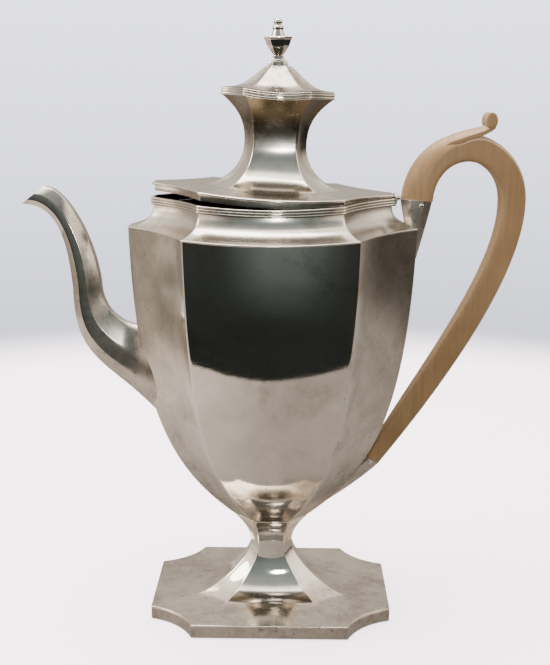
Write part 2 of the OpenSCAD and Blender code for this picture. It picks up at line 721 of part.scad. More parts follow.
module lid_bezel() {
    out = rim_wall + bezel_gap;
    color(silver)
    lifted()
    hollow_loft(stack(rim_plan, [[out + 0.3, -bezel_h], [out, 0.3 - bezel_h], [out, 0.1 - seam],
        [out + lid_wall, 0.1 - seam], [out + lid_wall, -bezel_h]], lid_z, panel_dip));
}

spool_steps = 10;
spool_low = [[spool_w / 2, spool_z + seam], [spool_w / 2 - 7.8, spool_z + 2],
    [spool_waist_w / 2 - 0.2, spool_z + spool_waist_z / 2], [spool_waist_w / 2 + 0.5, spool_z + spool_waist_z]];
spool_high = [[spool_waist_w / 2 + 0.5, spool_z + spool_waist_z], [spool_waist_w / 2 + 0.5, collar_z - 12.9],
    [spool_waist_w / 2 + 3, collar_z - 6.8], [collar_w / 2 - 0.7, collar_z]];
function spool_at(i, t) =
    let (low = i <= spool_steps, u = low ? i / spool_steps : i / spool_steps - 1,
        c = bez(low ? spool_low : spool_high, u), k = inward(low ? spool_low : spool_high, u, t),
        p = plan_at(spool_waist, low ? spool_plan : collar_plan, c[0]))
    ring(inset(p, c[0] - k[0]), min(max(k[1], spool_z + seam), collar_z), panel_dip);

module lid_spool() {
    color(silver)
    lifted()
    hollow_loft(concat([for (i = [0 : 2 * spool_steps]) spool_at(i, 0)],
        [for (i = [2 * spool_steps : -1 : 1]) spool_at(i, lid_wall)]));
}

module lid_collar() {
    out = lid_wall + 0.9;
    color(silver)
    lifted()
    hollow_loft(stack(collar_plan, [[0.5, seam], [0, 0.4], [0, collar_h * 0.33], [0.45, collar_h * 0.42],
        [0, collar_h * 0.5], [0, collar_h * 0.68], [0.45, collar_h * 0.77], [0, collar_h * 0.86],
        [0.3, collar_h], [out, collar_h], [out, seam]], collar_z, panel_dip));
}

cap_steps = 8;
cap_in = 0.5;
cap_curve = [[collar_w / 2 - cap_in, cap_z + cap_edge], [collar_w / 2 - 9.4, cap_z + cap_edge],
    [cap_top_w / 2 + 9.5, cap_z + cap_h * 0.27], [cap_top_w / 2, base_z]];
function cap_at(i, t) =
    let (u = i / cap_steps, c = bez(cap_curve, u), k = inward(cap_curve, u, t),
        dip = panel_dip * (c[0] - cap_plan[0]) / (collar_plan[0] - cap_plan[0]))
    ring(inset(plan_at(collar_plan, cap_plan, c[0]), c[0] - k[0]), max(k[1], cap_z + seam), dip);

module lid_cap() {
    color(silver)
    lifted()
    difference() {
        capped_loft(concat(
            [for (i = [cap_steps : -1 : 2]) cap_at(i, lid_wall)],
            [for (t = [0.9 + lid_wall, cap_in]) ring(inset(collar_plan, t), cap_z + seam, panel_dip)],
            [for (i = [0 : cap_steps]) cap_at(i, 0)]));
        cylinder(d = stud_d + 2 * seam, h = 400, $fn = 32);
    }
}

module finial_base() {
    color(silver)
    lifted()
    difference() {
        capped_loft(stack(base_plan, [[0, seam], [0, base_h * 0.4], [0.9, base_h * 0.5],
            [1.7, base_h * 0.7], [1.8, base_h]], base_z));
        cylinder(d = stud_d + 2 * seam, h = 400, $fn = 32);
    }
}

module finial_urn() {
    color(silver)
    lifted()
    difference() {
        capped_loft([for (s = [[0.32, 0], [0.42, 0.13], [0.64, 0.36], [0.79, 0.55], [0.91, 0.78], [1, 0.96],
                [0.9, 1]])
            ring(resized(urn_plan, s[0]), urn_z + seam + s[1] * (urn_h - seam))]);
        translate([0, 0, urn_z - 1])
            cylinder(d = stud_d + 2 * seam, h = 5, $fn = 32);
    }
}

module finial_knop() {
    k = (knop_h - seam) / 8.4;
    r = knop_w / 6.6;
    color(silver)
    lifted()
    translate([0, 0, knop_z + seam])
        rotate_extrude($fn = 96)
            polygon([for (c = [[0, 0], [3.3, 0], [3.2, 0.6], [2.8, 1.6], [2.4, 2.7], [2.35, 2.9], [2.65, 3.5],
                    [2.7, 4.1], [2.4, 4.8], [1.6, 5.3], [1.55, 5.5], [2, 6.1], [2.1, 6.8], [1.8, 7.6],
                    [1.1, 8.2], [0, 8.4]])
                [c[0] * r, c[1] * k]]);
}

module finial_stud() {
    color(silver)
    lifted()
    translate([0, 0, base_z - lid_wall - 4])
        cylinder(d = stud_d, h = lid_wall + 4 + base_h + 3.5, $fn = 32);
}

module finial_nut() {
    color(silver)
    lifted()
    translate([0, 0, base_z - lid_wall - 3.1])
        difference() {
            cylinder(d = nut_w / cos(30), h = 3, $fn = 6);
            translate([0, 0, -1])
                cylinder(d = stud_d + 2 * seam, h = 6, $fn = 32);
        }
}

body_shell();
shoulder();
rim_moulding();
stem_ring();
pedestal();
foot_band();
spout();
handle();
upper_socket();
lower_socket();
upper_pin();
lower_pin();
rim_hinge();
hinge_pin();
lid_hinge();
lid_plate();
lid_bezel();
lid_spool();
lid_collar();
lid_cap();
finial_base();
finial_urn();
finial_knop();
finial_stud();
finial_nut();
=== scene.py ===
import json
import math
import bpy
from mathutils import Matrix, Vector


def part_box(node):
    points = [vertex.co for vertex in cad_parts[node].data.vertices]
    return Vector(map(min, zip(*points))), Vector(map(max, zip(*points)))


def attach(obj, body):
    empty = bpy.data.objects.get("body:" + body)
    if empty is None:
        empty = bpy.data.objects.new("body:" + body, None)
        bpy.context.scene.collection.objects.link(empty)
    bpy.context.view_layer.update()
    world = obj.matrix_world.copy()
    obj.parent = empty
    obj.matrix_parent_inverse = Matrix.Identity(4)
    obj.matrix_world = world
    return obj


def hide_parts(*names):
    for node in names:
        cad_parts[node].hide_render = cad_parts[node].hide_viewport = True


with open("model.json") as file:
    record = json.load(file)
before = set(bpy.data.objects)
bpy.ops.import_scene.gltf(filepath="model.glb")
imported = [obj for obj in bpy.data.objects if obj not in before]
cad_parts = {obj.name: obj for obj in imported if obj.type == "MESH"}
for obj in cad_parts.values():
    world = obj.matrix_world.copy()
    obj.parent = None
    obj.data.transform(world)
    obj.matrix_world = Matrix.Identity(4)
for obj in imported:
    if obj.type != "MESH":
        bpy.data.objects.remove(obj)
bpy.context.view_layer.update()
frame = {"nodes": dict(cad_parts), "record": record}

from types import SimpleNamespace

import bmesh
import bpy
from mathutils import Matrix, Vector

bl_info = {
    "name": "Panelled Coffee Pot",
    "version": (1, 0, 0),
    "blender": (4, 5, 0),
    "location": "View3D > Sidebar > Coffee Pot",
    "description": "Models a panelled silver coffee pot with a hinged lid and a wooden handle",
    "category": "Add Mesh",
}

# Shapes are worked out in millimetres, and a mesh is in metres.
MM = 0.001
HINGE = [v / MM for v in frame["record"]["behaviour"]["joints"][0]["pos_m"]]

# Gap between pieces that are soldered together
SOLDER = 0.03
# How far the lid's plate rises towards the spool, and the thickness of the spool and the cap
PLATE_RISE = 0.4
LID_SHEET = 1.1
# Half width of the hinge's notches, their depth in the rim and their depth from the hinge into the lid
NOTCH_HALF = 6.4
RIM_NOTCH = 1.3
LID_NOTCH = 2.9


def linear(code):
    """An sRGB hex colour as linear red, green and blue."""
    parts = [int(code[i:i + 2], 16) / 255 for i in (1, 3, 5)]
    return [c / 12.92 if c <= 0.04045 else ((c + 0.055) / 1.055) ** 2.4 for c in parts]


def span(node, axis):
    """Length of a node of the frame along one axis, in metres."""
    low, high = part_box(node)
    return high[axis] - low[axis]


def length(name, description, default):
    """A length that the user may change, in metres."""
    return bpy.props.FloatProperty(
        name=name, description=description, default=default, min=0.0, precision=4,
        unit="LENGTH", subtype="DISTANCE")


def colour(name, description, code):
    """A colour that the user may change, from its hex code."""
    return bpy.props.FloatVectorProperty(
        name=name, description=description, default=linear(code), min=0.0, max=1.0, size=3,
        subtype="COLOR")


class FootSizes(bpy.types.PropertyGroup):
    """Sizes of the foot and stem."""
    width: length("Foot width", "Width of the foot from end to end", span("foot_band", 0))
    depth: length("Foot depth", "Depth of the foot from front to back", span("foot_band", 1))
    front: length("Front edge", "Length of the straight front edge of the foot", 0.0764)
    end: length("End edge", "Length of the straight end edge of the foot", 0.053)
    dish: length("Corner hollow", "Depth of the hollow curve at each corner", 0.0035)
    band: length("Band height", "Height of the band round the foot", span("foot_band", 2))
    waist_z: length("Waist height", "Height of the narrowest part of the stem", 0.033)
    waist_w: length("Waist width", "Width of the stem at its narrowest", 0.0208)
    waist_d: length("Waist depth", "Depth of the stem at its narrowest", 0.017)
    joint_z: length("Stem top", "Height of the stem's top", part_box("pedestal")[1][2])
    joint_w: length("Stem top width", "Width of the stem's top", 0.0356)
    joint_d: length("Stem top depth", "Depth of the stem's top", 0.0268)


class BodySizes(bpy.types.PropertyGroup):
    """Sizes of the body, shoulder and rim."""
    bottom: length("Bottom", "Height of the body's lower end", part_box("body_shell")[0][2])
    top: length("Top", "Height of the shoulder edge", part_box("body_shell")[1][2])
    width: length("Width", "Width of the body at the shoulder edge", span("body_shell", 0))
    depth: length("Depth", "Depth of the body at the shoulder corners", 0.1075)
    front: length("Front panel", "Width of the front panel at the shoulder", 0.0788)
    end: length("End panel", "Width of the end panel at the shoulder", 0.014)
    bow: length("Front bow", "How far the front panel bows out", 0.0077)
    dish: length("Cant hollow", "Depth of the hollow in the canted panels", 0.0035)
    dip: length("Panel dip", "How far the front edges dip in the middle", 0.0012)
    wall: length("Wall", "Thickness of the sheet", 0.0012)
    rim_z: length("Rim bottom", "Height of the lower edge of the rim", 0.20636)
    rim_h: length("Rim height", "Height of the rim moulding", 0.0038)
    rim_w: length("Rim width", "Width of the rim", span("rim_moulding", 0))
    rim_d: length("Rim depth", "Depth of the rim at its corners", 0.0902)
    ridge: length("Ridge easing", "How far the ridges between panels are eased", 0.0007)


class LidSizes(bpy.types.PropertyGroup):
    """Sizes of the lid and its finial."""
    lift: bpy.props.FloatProperty(
        name="Lift", description="Angle that the lid stands open at rest", default=math.radians(2.7),
        subtype="ANGLE", unit="ROTATION")
    bottom: length("Lid bottom", "Height of the closed lid's lower face", 0.21046)
    lip: length("Lip", "Height of the lid's lip", 0.0013)
    spool_h: length("Spool height", "Height of the spool", 0.0422)
    spool_w: length("Spool width", "Width of the spool's base", 0.068)
    waist_w: length("Spool waist", "Width of the spool at its waist", 0.0288)
    waist_z: length("Spool waist height", "Height of the waist above the spool's base", 0.0208)
    collar_h: length("Collar height", "Height of the collar", 0.0035)
    collar_w: length("Collar width", "Width of the collar", 0.0538)
    cap_h: length("Cap height", "Height of the cap", 0.011)
    cap_edge: length("Cap edge", "Thickness of the cap's lower edge", 0.0003)
    cap_top: length("Cap top", "Width of the flat on top of the cap", 0.0116)
    base_h: length("Finial base", "Height of the finial's base", 0.0044)
    urn_h: length("Urn height", "Height of the urn", 0.0089)
    urn_w: length("Urn width", "Width of the urn at its lip", 0.0132)
    knop_h: length("Knop height", "Height of the knop with its bead", 0.0084)
    knop_w: length("Knop width", "Width of the knop at its foot", 0.0066)
    lean: bpy.props.FloatProperty(
        name="Finial lean", description="Angle that the finial leans towards the spout",
        default=math.radians(3.75), subtype="ANGLE", unit="ROTATION")


class SpoutSizes(bpy.types.PropertyGroup):
    """Sizes of the spout."""
    low: length("Root bottom", "Height of the lower edge of the root", 0.1016)
    high: length("Root top", "Height of the upper edge of the root", 0.1464)
    tip_z: length("Tip height", "Height of the tip", 0.206)
    reach: length("Reach", "Distance of the tip from the middle of the pot", -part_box("spout")[0][0])
    root_w: length("Root width", "Width of the root seen from the end", 0.0164)
    throat_w: length("Throat width", "Width of the throat seen from the end", 0.0132)
    mouth_w: length("Mouth width", "Width of the mouth seen from the end", 0.010)
    wall: length("Wall", "Thickness of the spout", 0.0011)


class HandleSizes(bpy.types.PropertyGroup):
    """Sizes of the handle and its sockets."""
    start_z: length("Upper joint", "Height of the joint at the upper socket", 0.20916)
    start_x: length("Upper joint place", "Distance of that joint from the middle of the pot", 0.0693)
    crest_z: length("Crest", "Height of the centre of the crest", 0.2342)
    crest_x: length("Crest place", "Distance of the crest from the middle of the pot", 0.091)
    reach: length("Reach", "Distance of the handle's outside from the middle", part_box("handle")[1][0])
    reach_z: length("Reach height", "Height of the handle's widest reach", 0.208)
    stop_z: length("Lower joint", "Height of the joint at the lower socket", 0.0774)
    grip: length("Grip", "Width of the handle from front to back", 0.014)
    scroll: length("Scroll", "Height of the thumb scroll", 0.0078)


class Finishes(bpy.types.PropertyGroup):
    """Colours of the metal, wood and stage."""
    bright: colour("Polished silver", "Colour of the clean metal", "#E4DCD2")
    thin: colour("Thin tarnish", "Colour of the thin film on the metal", "#D3CABD")
    film: colour("Tarnish", "Colour of the thick film on the metal", "#A0968B")
    stain: colour("Stain", "Colour of the dark spots on the metal", "#5C5140")
    heartwood: colour("Heartwood", "Colour of the darker grain", "#876642")
    sapwood: colour("Sapwood", "Colour of the paler grain", "#B38F64")
    paper: colour("Floor", "Colour of the floor", "#F6EAF2")
    wall: colour("Backdrop", "Colour behind the floor", "#CFD0E0")


GROUPS = {
    "pot_foot": FootSizes, "pot_body": BodySizes, "pot_lid": LidSizes, "pot_spout": SpoutSizes,
    "pot_handle": HandleSizes, "pot_finish": Finishes,
}


def sizes(group):
    """The lengths of one group in millimetres."""
    values = getattr(bpy.context.scene, group)
    return SimpleNamespace(**{key: getattr(values, key) / MM for key in values.__annotations__
                              if key not in ("lift", "lean")})


# Curves and plans

def mix(a, b, t):
    """The point or plan that is a share t of the way from a to b."""
    return [x + (y - x) * t for x, y in zip(a, b)]


def steps(count):
    """Even shares from 0 to 1."""
    return [i / count for i in range(count + 1)]


def turns(count):
    """Even angles once round."""
    return [2 * math.pi * i / count for i in range(count)]


def bezier(p, t):
    """The point at share t of a curve with two ends and two handles."""
    k = 1 - t
    return [k ** 3 * a + 3 * t * k * k * b + 3 * t * t * k * c + t ** 3 * d for a, b, c, d in zip(*p)]


def heading(p, t):
    """The direction of such a curve at share t."""
    k = 1 - t
    d = [k * k * (b - a) + 2 * t * k * (c - b) + t * t * (e - c) for a, b, c, e in zip(*p)]
    size = math.hypot(*d)
    return [v / size for v in d]


def inward(p, t, depth):
    """The point of a profile moved in along its normal."""
    (x, z), (dx, dz) = bezier(p, t), heading(p, t)
    return [x - depth * dz, z + depth * dx]


def plan_between(a, b, w, ease=1.0):
    """The plan of half width w on the way from plan a to plan b."""
    return [w] + mix(a, b, max((w - a[0]) / (b[0] - a[0]), 0.0) ** ease)[1:]


def inset(plan, t):
    """The plan moved in by t on every side."""
    w, a, h, s, bow, dish = plan
    size = math.hypot(h - s, w - a)
    nx, ny = (h - s) / size, (w - a) / size
    return [w - t, a - t * nx / (1 + ny), h - t, s - t * ny / (1 + nx), bow, dish]


# Where the points lie along an end panel, a cant and half a front, closer together at the ridges
END = (0.0, 0.6, 1.0)
CANT = (0.0, 0.02, 0.06, 0.14, 0.26, 0.38, 0.5, 0.62, 0.74, 0.86, 0.94, 0.98, 1.0)
FRONT = (0.0, 0.02, 0.06, 0.13, 0.22, 0.32, 0.42, 0.52, 0.62, 0.72, 0.82, 0.91, 1.0)


def eased(p, corner, q):
    """Points that round a corner between p and q."""
    return [mix(mix(p, corner, t), mix(corner, q, t), t) for t in steps(4)[1:-1]]


def outline(plan, ridge):
    """Points round a plan of two end panels, four hollow cants and two bowed fronts, its ridges eased."""
    w, a, h, s, bow, dish = plan
    run = math.hypot(w - a, h - s)
    ease = min(ridge, 0.3 * s, 0.15 * run, 0.15 * a)

    def cant(t):
        sink = 4 * dish * t * (1 - t) / run
        return [w + (a - w) * t - sink * (h - s), s + (h - s) * t + sink * (a - w)]

    def front(t):
        return [a * (1 - t), h + bow * (1 - (1 - t) ** 2)]

    quarter = [[w, s * t * (1 - ease / s)] for t in END]
    quarter += eased(quarter[-1], [w, s], cant(ease / run))
    quarter += [cant(ease / run + (1 - 2 * ease / run) * t) for t in CANT]
    quarter += eased(quarter[-1], [a, h], front(ease / a))
    quarter += [front(ease / a + (1 - ease / a) * t) for t in FRONT]
    half = quarter[:-1] + [[-x, y] for x, y in reversed(quarter)][:-1]
    return half + [[-x, -y] for x, y in half]


def ring(plan, z, dip=0.0):
    """A plan's outline at height z, whose front and back sag by dip in the middle."""
    ridge = sizes("pot_body").ridge
    a = plan[1]
    return [(x, y, z - dip * (1 - (x / a) ** 2) if abs(x) < a else z) for x, y in outline(plan, ridge)]


def stack(plan, profile, z, dip=0.0):
    """Rings of one plan, from pairs of how far in and how high."""
    return [ring(inset(plan, t), z + up, dip) for t, up in profile]


def reed(low, high, depth, count=7):
    """The profile of a half-round reed between two heights, as pairs of how far in and how high."""
    mid, half = (low + high) / 2, (high - low) / 2
    swing = [math.radians(-80 + 160 * t) for t in steps(count)]
    return [(depth * (1 - math.cos(v)), mid + half * math.sin(v)) for v in swing]


def lifted(points):
    """Points of the closed lid carried to its lifted place."""
    angle = bpy.context.scene.pot_lid.lift
    c, s = math.cos(angle), math.sin(angle)
    hx, _, hz = HINGE
    return [(hx + (x - hx) * c + (z - hz) * s, y, hz - (x - hx) * s + (z - hz) * c) for x, y, z in points]


# Corners of an eight-sided section, as shares of its half depth and half width
SOCKET_SHAPE = ((1, -0.5), (1, 0.5), (0.42, 1), (-0.42, 1), (-1, 0.5), (-1, -0.5), (-0.42, -1), (0.42, -1))
SPOUT_SHAPE = ((1, -0.45), (1, 0.45), (0.18, 1), (-0.48, 1),
               (-1, 0.45), (-1, -0.45), (-0.48, -1), (0.18, -1))


def limb_ring(a, b, half, ease, shape=SOCKET_SHAPE):
    """A section with eased corners between edge points a and b, each x and z, of half width half."""
    (cx, cz), (rx, rz) = mix(a, b, 0.5), [(q - p) / 2 for p, q in zip(a, b)]
    corners = [(cx + rx * u, half * v, cz + rz * u) for u, v in shape]
    rounds = []
    for i, corner in enumerate(corners):
        before, after = [mix(corner, other, min(ease / max(math.dist(corner, other), 0.01), 0.4))
                         for other in (corners[i - 1], corners[(i + 1) % 8])]
        rounds.append([before] + eased(before, corner, after) + [after])
    points = []
    for i, turn in enumerate(rounds):
        points += turn + [mix(turn[-1], rounds[(i + 1) % 8][0], 0.5)]
    return points


# Meshes

def deselect():
    """Leaves edit mode with nothing selected."""
    if bpy.context.mode != "OBJECT":
        bpy.ops.object.mode_set(mode="OBJECT")
    bpy.ops.object.select_all(action="DESELECT")


def move_points(piece, order, points):
    """Puts mesh points, named by their index, at places in millimetres."""
    shape = bmesh.from_edit_mesh(piece.data)
    shape.verts.ensure_lookup_table()
    for index, place in zip(order, points):
        shape.verts[index].co = [v * MM for v in place]
    bmesh.update_edit_mesh(piece.data)


def next_ring(piece, order):
    """The indices of the points that an extrusion has just drawn out of a ring."""
    shape = bmesh.from_edit_mesh(piece.data)
    shape.verts.index_update()
    shape.verts.ensure_lookup_table()
    new = []
    for index in order:
        point = shape.verts[index]
        new.append(next(e.other_vert(point).index for e in point.link_edges if e.other_vert(point).select))
    return new


def loft(name, rings, closed=False):
    """Extrudes a circle of edges through rings of points, and closes it on itself or at both ends."""
    count = len(rings[0])
    if closed:
        rings = rings + rings[:1]
    else:
        ends = [[[sum(v) / count for v in zip(*r)]] * count for r in (rings[0], rings[-1])]
        rings = ends[:1] + rings + ends[1:]
    deselect()
    bpy.ops.mesh.primitive_circle_add(vertices=count, radius=0.01, fill_type="NOTHING")
    piece = bpy.context.object
    piece.name = piece.data.name = name
    bpy.ops.object.mode_set(mode="EDIT")
    order = list(range(count))
    move_points(piece, order, rings[0])
    for points in rings[1:]:
        bpy.ops.mesh.extrude_region()
        order = next_ring(piece, order)
        move_points(piece, order, points)
    bpy.ops.mesh.select_all(action="SELECT")
    bpy.ops.mesh.remove_doubles(threshold=1e-7)
    bpy.ops.mesh.normals_make_consistent(inside=False)
    bpy.ops.object.mode_set(mode="OBJECT")
    return piece


def block(name, low, high, place=list):
    """A box between two corners, whose points place may move."""
    deselect()
    bpy.ops.mesh.primitive_cube_add(size=1)
    piece = bpy.context.object
    piece.name = piece.data.name = name
    bpy.ops.object.mode_set(mode="EDIT")
    points = [[a if v < 0 else b for v, a, b in zip(p.co, low, high)] for p in piece.data.vertices]
    move_points(piece, range(8), place(points))
    bpy.ops.object.mode_set(mode="OBJECT")
    return piece


def rod(name, middle, radius, long, place=list):
    """A rod along Y with domed ends, whose points place may move."""
    x, y, z = middle
    # the dome's width and how far it stands back from the end, as shares of the radius
    dome = [(0.3, 0.02), (0.55, 0.08), (0.76, 0.19), (0.9, 0.34), (0.97, 0.5), (1.0, 0.7)]
    rings = []
    for side, ends in ((-1, dome), (1, reversed(dome))):
        for r, edge in ends:
            at = y + side * (long / 2 - edge * radius)
            rings.append(place([(x + radius * r * math.cos(v), at, z + radius * r * math.sin(v))
                                for v in turns(40)]))
    return loft(name, rings)


def modify(piece, kind, **settings):
    """Adds one modifier to a piece and applies it."""
    deselect()
    piece.select_set(True)
    bpy.context.view_layer.objects.active = piece
    modifier = piece.modifiers.new(kind.lower(), kind)
    for key, value in settings.items():
        setattr(modifier, key, value)
    bpy.ops.object.modifier_apply(modifier=modifier.name)


def cut(piece, cutter):
    """Takes a cutter out of a piece and removes the cutter."""
    modify(piece, "BOOLEAN", object=cutter, operation="DIFFERENCE", solver="EXACT")
    bpy.data.objects.remove(cutter)


def joined(name, pieces):
    """Several shells as one object."""
    deselect()
    for piece in pieces:
        piece.select_set(True)
    bpy.context.view_layer.objects.active = pieces[0]
    bpy.ops.object.join()
    pieces[0].name = pieces[0].data.name = name
    return pieces[0]


def finish(piece, body, nodes, material, angle=32):
    """Smooths a piece, gives it its material and seats it on the frame in place of its nodes."""
    deselect()
    piece.select_set(True)
    bpy.context.view_layer.objects.active = piece
    bpy.ops.object.shade_smooth_by_angle(angle=math.radians(angle))
    piece.data.materials.clear()
    piece.data.materials.append(material)
    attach(piece, body)
    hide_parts(*nodes)
    "wood" if "wood" in material.name else "silver"


# Finishes

# Heights between which the foot turns dull, and how far out the spout turns dull, in metres
FOOT_DULL = (0.013, 0.009)
SPOUT_DULL = (-0.106, -0.084)


def add(tree, kind, inputs=(), out=0, **settings):
    """Adds a shader node with its settings, gives each input a value or a link, and returns an output.

    Inputs are named, or else stand in the node's own order. A range has its value first, then the two ends
    that it is read between and the two ends that it is turned into."""
    node = tree.nodes.new("ShaderNode" + kind)
    for key, value in settings.items():
        setattr(node, key, value)
    for key, value in inputs.items() if isinstance(inputs, dict) else enumerate(inputs):
        if isinstance(value, bpy.types.NodeSocket):
            tree.links.new(value, node.inputs[key])
        else:
            node.inputs[key].default_value = value
    return node.outputs[out] if node.outputs else None


def new_material(name):
    """An empty material and its node tree."""
    material = bpy.data.materials.new(name)
    material.use_nodes = True
    material.node_tree.nodes.clear()
    return material, material.node_tree


def rgba(value):
    """A colour that is fully opaque."""
    return (*value, 1.0)


def silver(name="worn_silver", tarnish=0.2, satin=0.09, ends=0.0, root=0.0, zone=(0.0, 1.0, 0.0),
           strokes=0.03):
    """Old polished silver: raised and planished by hand, so it mirrors softly, with a thin brown film.

    tarnish is how much film it has and satin how rough it is. ends and root are how dull it turns at the
    ends of the pot and at the root of the spout. zone is a height where it starts to turn dull, a height
    where it is dull and how dull. strokes is how much the cloth's strokes show."""
    if name in bpy.data.materials:
        return bpy.data.materials[name]
    colours = bpy.context.scene.pot_finish
    material, tree = new_material(name)
    place = add(tree, "TexCoord", out="Object")
    x, y, z = add(tree, "SeparateXYZ", (place,)).node.outputs
    # level strokes left by the polishing cloth, drawn about 0.5 mm wide so that they show
    lie = add(tree, "Mapping", {"Vector": place, "Rotation": (0.0, 0.09, 0.0),
                                "Scale": (1 / 0.014, 1 / 0.014, 1 / 0.0007)})
    hair = add(tree, "TexNoise", {"Vector": lie, "Scale": 1.0, "Detail": 4.0, "Roughness": 0.65})
    # cloudy tarnish in patches of about 28 mm, mottling of about 4 mm with finer mottling in it, pin-point
    # spots of about 0.8 mm, coarser than the real ones so that they show, and planishing waves of about 20 mm
    cloud, mottle, spot, wave = [
        add(tree, "TexNoise", {"Vector": place, "Scale": 1 / size, "Detail": detail, "Roughness": rough,
                               "Distortion": twist})
        for size, detail, rough, twist in ((0.028, 5.0, 0.62, 0.6), (0.004, 8.0, 0.75, 0.0),
                                           (0.0021, 3.0, 0.6, 0.7), (0.022, 1.0, 0.5, 0.0))]
    patch = add(tree, "MapRange", (cloud, 0.40, 0.70))
    thin = add(tree, "Math", (patch, mottle), operation="MULTIPLY")

    # the film lies thicker on the foot, at the ends and in hollows, where a cloth seldom rubs
    low = add(tree, "MapRange", (z, *FOOT_DULL, 0.0, 0.2))
    # zone thickens the film over a band of heights; on the body's underside this is painted shade
    under = add(tree, "MapRange", (z, *zone[:2], 0.0, zone[2]))
    across, deep = [add(tree, "Math", (way,), operation="ABSOLUTE") for way in (x, y)]
    round_end = add(tree, "Math", (across, deep), operation="DIVIDE")
    side = add(tree, "MapRange", (round_end, 0.70, 0.95, 0.0, ends))
    joint = add(tree, "MapRange", (x, *SPOUT_DULL, 0.0, root), interpolation_type="SMOOTHSTEP")
    mask = low
    for other in (side, joint):
        mask = add(tree, "Math", (mask, other), operation="MAXIMUM")
    mask = add(tree, "Math", (under, 0.4, mask), operation="MULTIPLY_ADD")
    shade = add(tree, "AmbientOcclusion", {"Distance": 0.003}, "AO", samples=6)
    hollow = add(tree, "MapRange", (shade, 0.55, 0.15, 0.0, 0.8))
    uneven = add(tree, "MapRange", (mottle, 0.3, 0.7, 0.8, 1.2))
    thick = add(tree, "Math", (mask, 0.35, tarnish), operation="MULTIPLY_ADD")
    for other, how in ((under, "ADD"), (hollow, "MAXIMUM"), (uneven, "MULTIPLY")):
        thick = add(tree, "Math", (thick, other), operation=how)
    film = add(tree, "Math", (thin, thick), operation="ADD")

    # clean metal turns to a thin film, a thick film and a crust, with dark spots in the film and bare ones
    begun, grown, crust = [add(tree, "MapRange", (film, *limits))
                           for limits in ((0.0, 0.4), (0.3, 1.0), (1.0, 1.8))]
    dotted = add(tree, "Math", (thick, 0.16, spot), operation="MULTIPLY_ADD")
    dots = add(tree, "MapRange", (dotted, 0.68, 0.82, 0.0, 0.6))
    bare = add(tree, "MapRange", (spot, 0.38, 0.26, 0.0, 0.35))
    tone = rgba(colours.bright)
    for share, over in ((begun, colours.thin), (grown, colours.film), (crust, colours.stain),
                        (dots, colours.stain), (bare, colours.bright)):
        tone = add(tree, "Mix", {0: share, 6: tone, 7: rgba(over)}, 2, data_type="RGBA")

    # strokes show only where the cloth rubs
    scratch = add(tree, "MapRange", (hair, 0.56, 0.80, 0.0, strokes))
    rubbed = add(tree, "Math", (1.0, mask), operation="SUBTRACT", use_clamp=True)
    scratch = add(tree, "Math", (scratch, rubbed), operation="MULTIPLY")
    dull = add(tree, "MapRange", (mask, 0.0, 1.0, satin, satin + 0.28))
    rough = add(tree, "Math", (dull, scratch), operation="ADD")
    waves = add(tree, "Bump", {"Height": wave, "Strength": 0.10, "Distance": 0.0008})
    worn = add(tree, "Bump", {"Height": mottle, "Normal": waves, "Strength": 0.10, "Distance": 0.0001})
    surface = add(tree, "BsdfPrincipled", {"Base Color": tone, "Roughness": rough, "Normal": worn,
                                           "Metallic": 1.0})
    add(tree, "OutputMaterial", (surface,))
    return material


def dull_silver():
    """Unpolished silver out of sight under the cap: grey and scratched."""
    colours = bpy.context.scene.pot_finish
    material, tree = new_material("dull_silver")
    place = add(tree, "TexCoord", out="Object")
    # tool marks of about 1 mm
    marks = add(tree, "TexNoise", {"Vector": place, "Scale": 1 / 0.001, "Detail": 4.0})
    tone = add(tree, "Mix", {0: marks, 6: rgba(colours.bright), 7: rgba(colours.stain)}, 2,
               data_type="RGBA")
    rough = add(tree, "MapRange", (marks, 0.0, 1.0, 0.35, 0.6))
    surface = add(tree, "BsdfPrincipled", {"Base Color": tone, "Roughness": rough, "Metallic": 1.0})
    add(tree, "OutputMaterial", (surface,))
    return material


def boxwood():
    """Waxed boxwood: pale, close-grained wood, cut and sanded smooth, a little greyed by handling."""
    colours = bpy.context.scene.pot_finish
    material, tree = new_material("waxed_boxwood")
    place = add(tree, "TexCoord", out="Object")
    # fine grain of about 0.7 mm that runs up the handle
    along = add(tree, "Mapping", {"Vector": place, "Rotation": (0.0, 0.25, 0.0),
                                  "Scale": (1 / 0.0016, 1 / 0.0016, 1 / 0.03)})
    grain = add(tree, "TexNoise", {"Vector": along, "Scale": 1.0, "Detail": 5.0, "Roughness": 0.6})
    # cloudy colour of about 20 mm from handling
    cloud = add(tree, "TexNoise", {"Vector": place, "Scale": 1 / 0.02, "Detail": 3.0})
    blend = add(tree, "Mix", {0: 0.45, 2: grain, 3: cloud}, data_type="FLOAT")
    share = add(tree, "MapRange", (blend, 0.22, 0.78))
    tone = add(tree, "Mix", {0: share, 6: rgba(colours.heartwood), 7: rgba(colours.sapwood)}, 2,
               data_type="RGBA")
    rough = add(tree, "MapRange", (grain, 0.0, 1.0, 0.36, 0.52))
    pores = add(tree, "Bump", {"Height": grain, "Strength": 0.15, "Distance": 0.0001})
    surface = add(tree, "BsdfPrincipled", {"Base Color": tone, "Roughness": rough, "Normal": pores})
    add(tree, "OutputMaterial", (surface,))
    return material


# Plans, each a half width, half front panel, half depth, half end panel, bow and hollow

def foot_plan():
    """The foot."""
    f = sizes("pot_foot")
    return [f.width / 2, f.front / 2, f.depth / 2, f.end / 2, 0.0, f.dish]


def waist_plan():
    """The stem at its narrowest."""
    f = sizes("pot_foot")
    return [f.waist_w / 2, 6.5, f.waist_d / 2, 4.0, 0.5, 0.3]


def joint_plan():
    """The stem's top."""
    f = sizes("pot_foot")
    return [f.joint_w / 2, 9.2, f.joint_d / 2, 4.5, 0.8, 0.5]


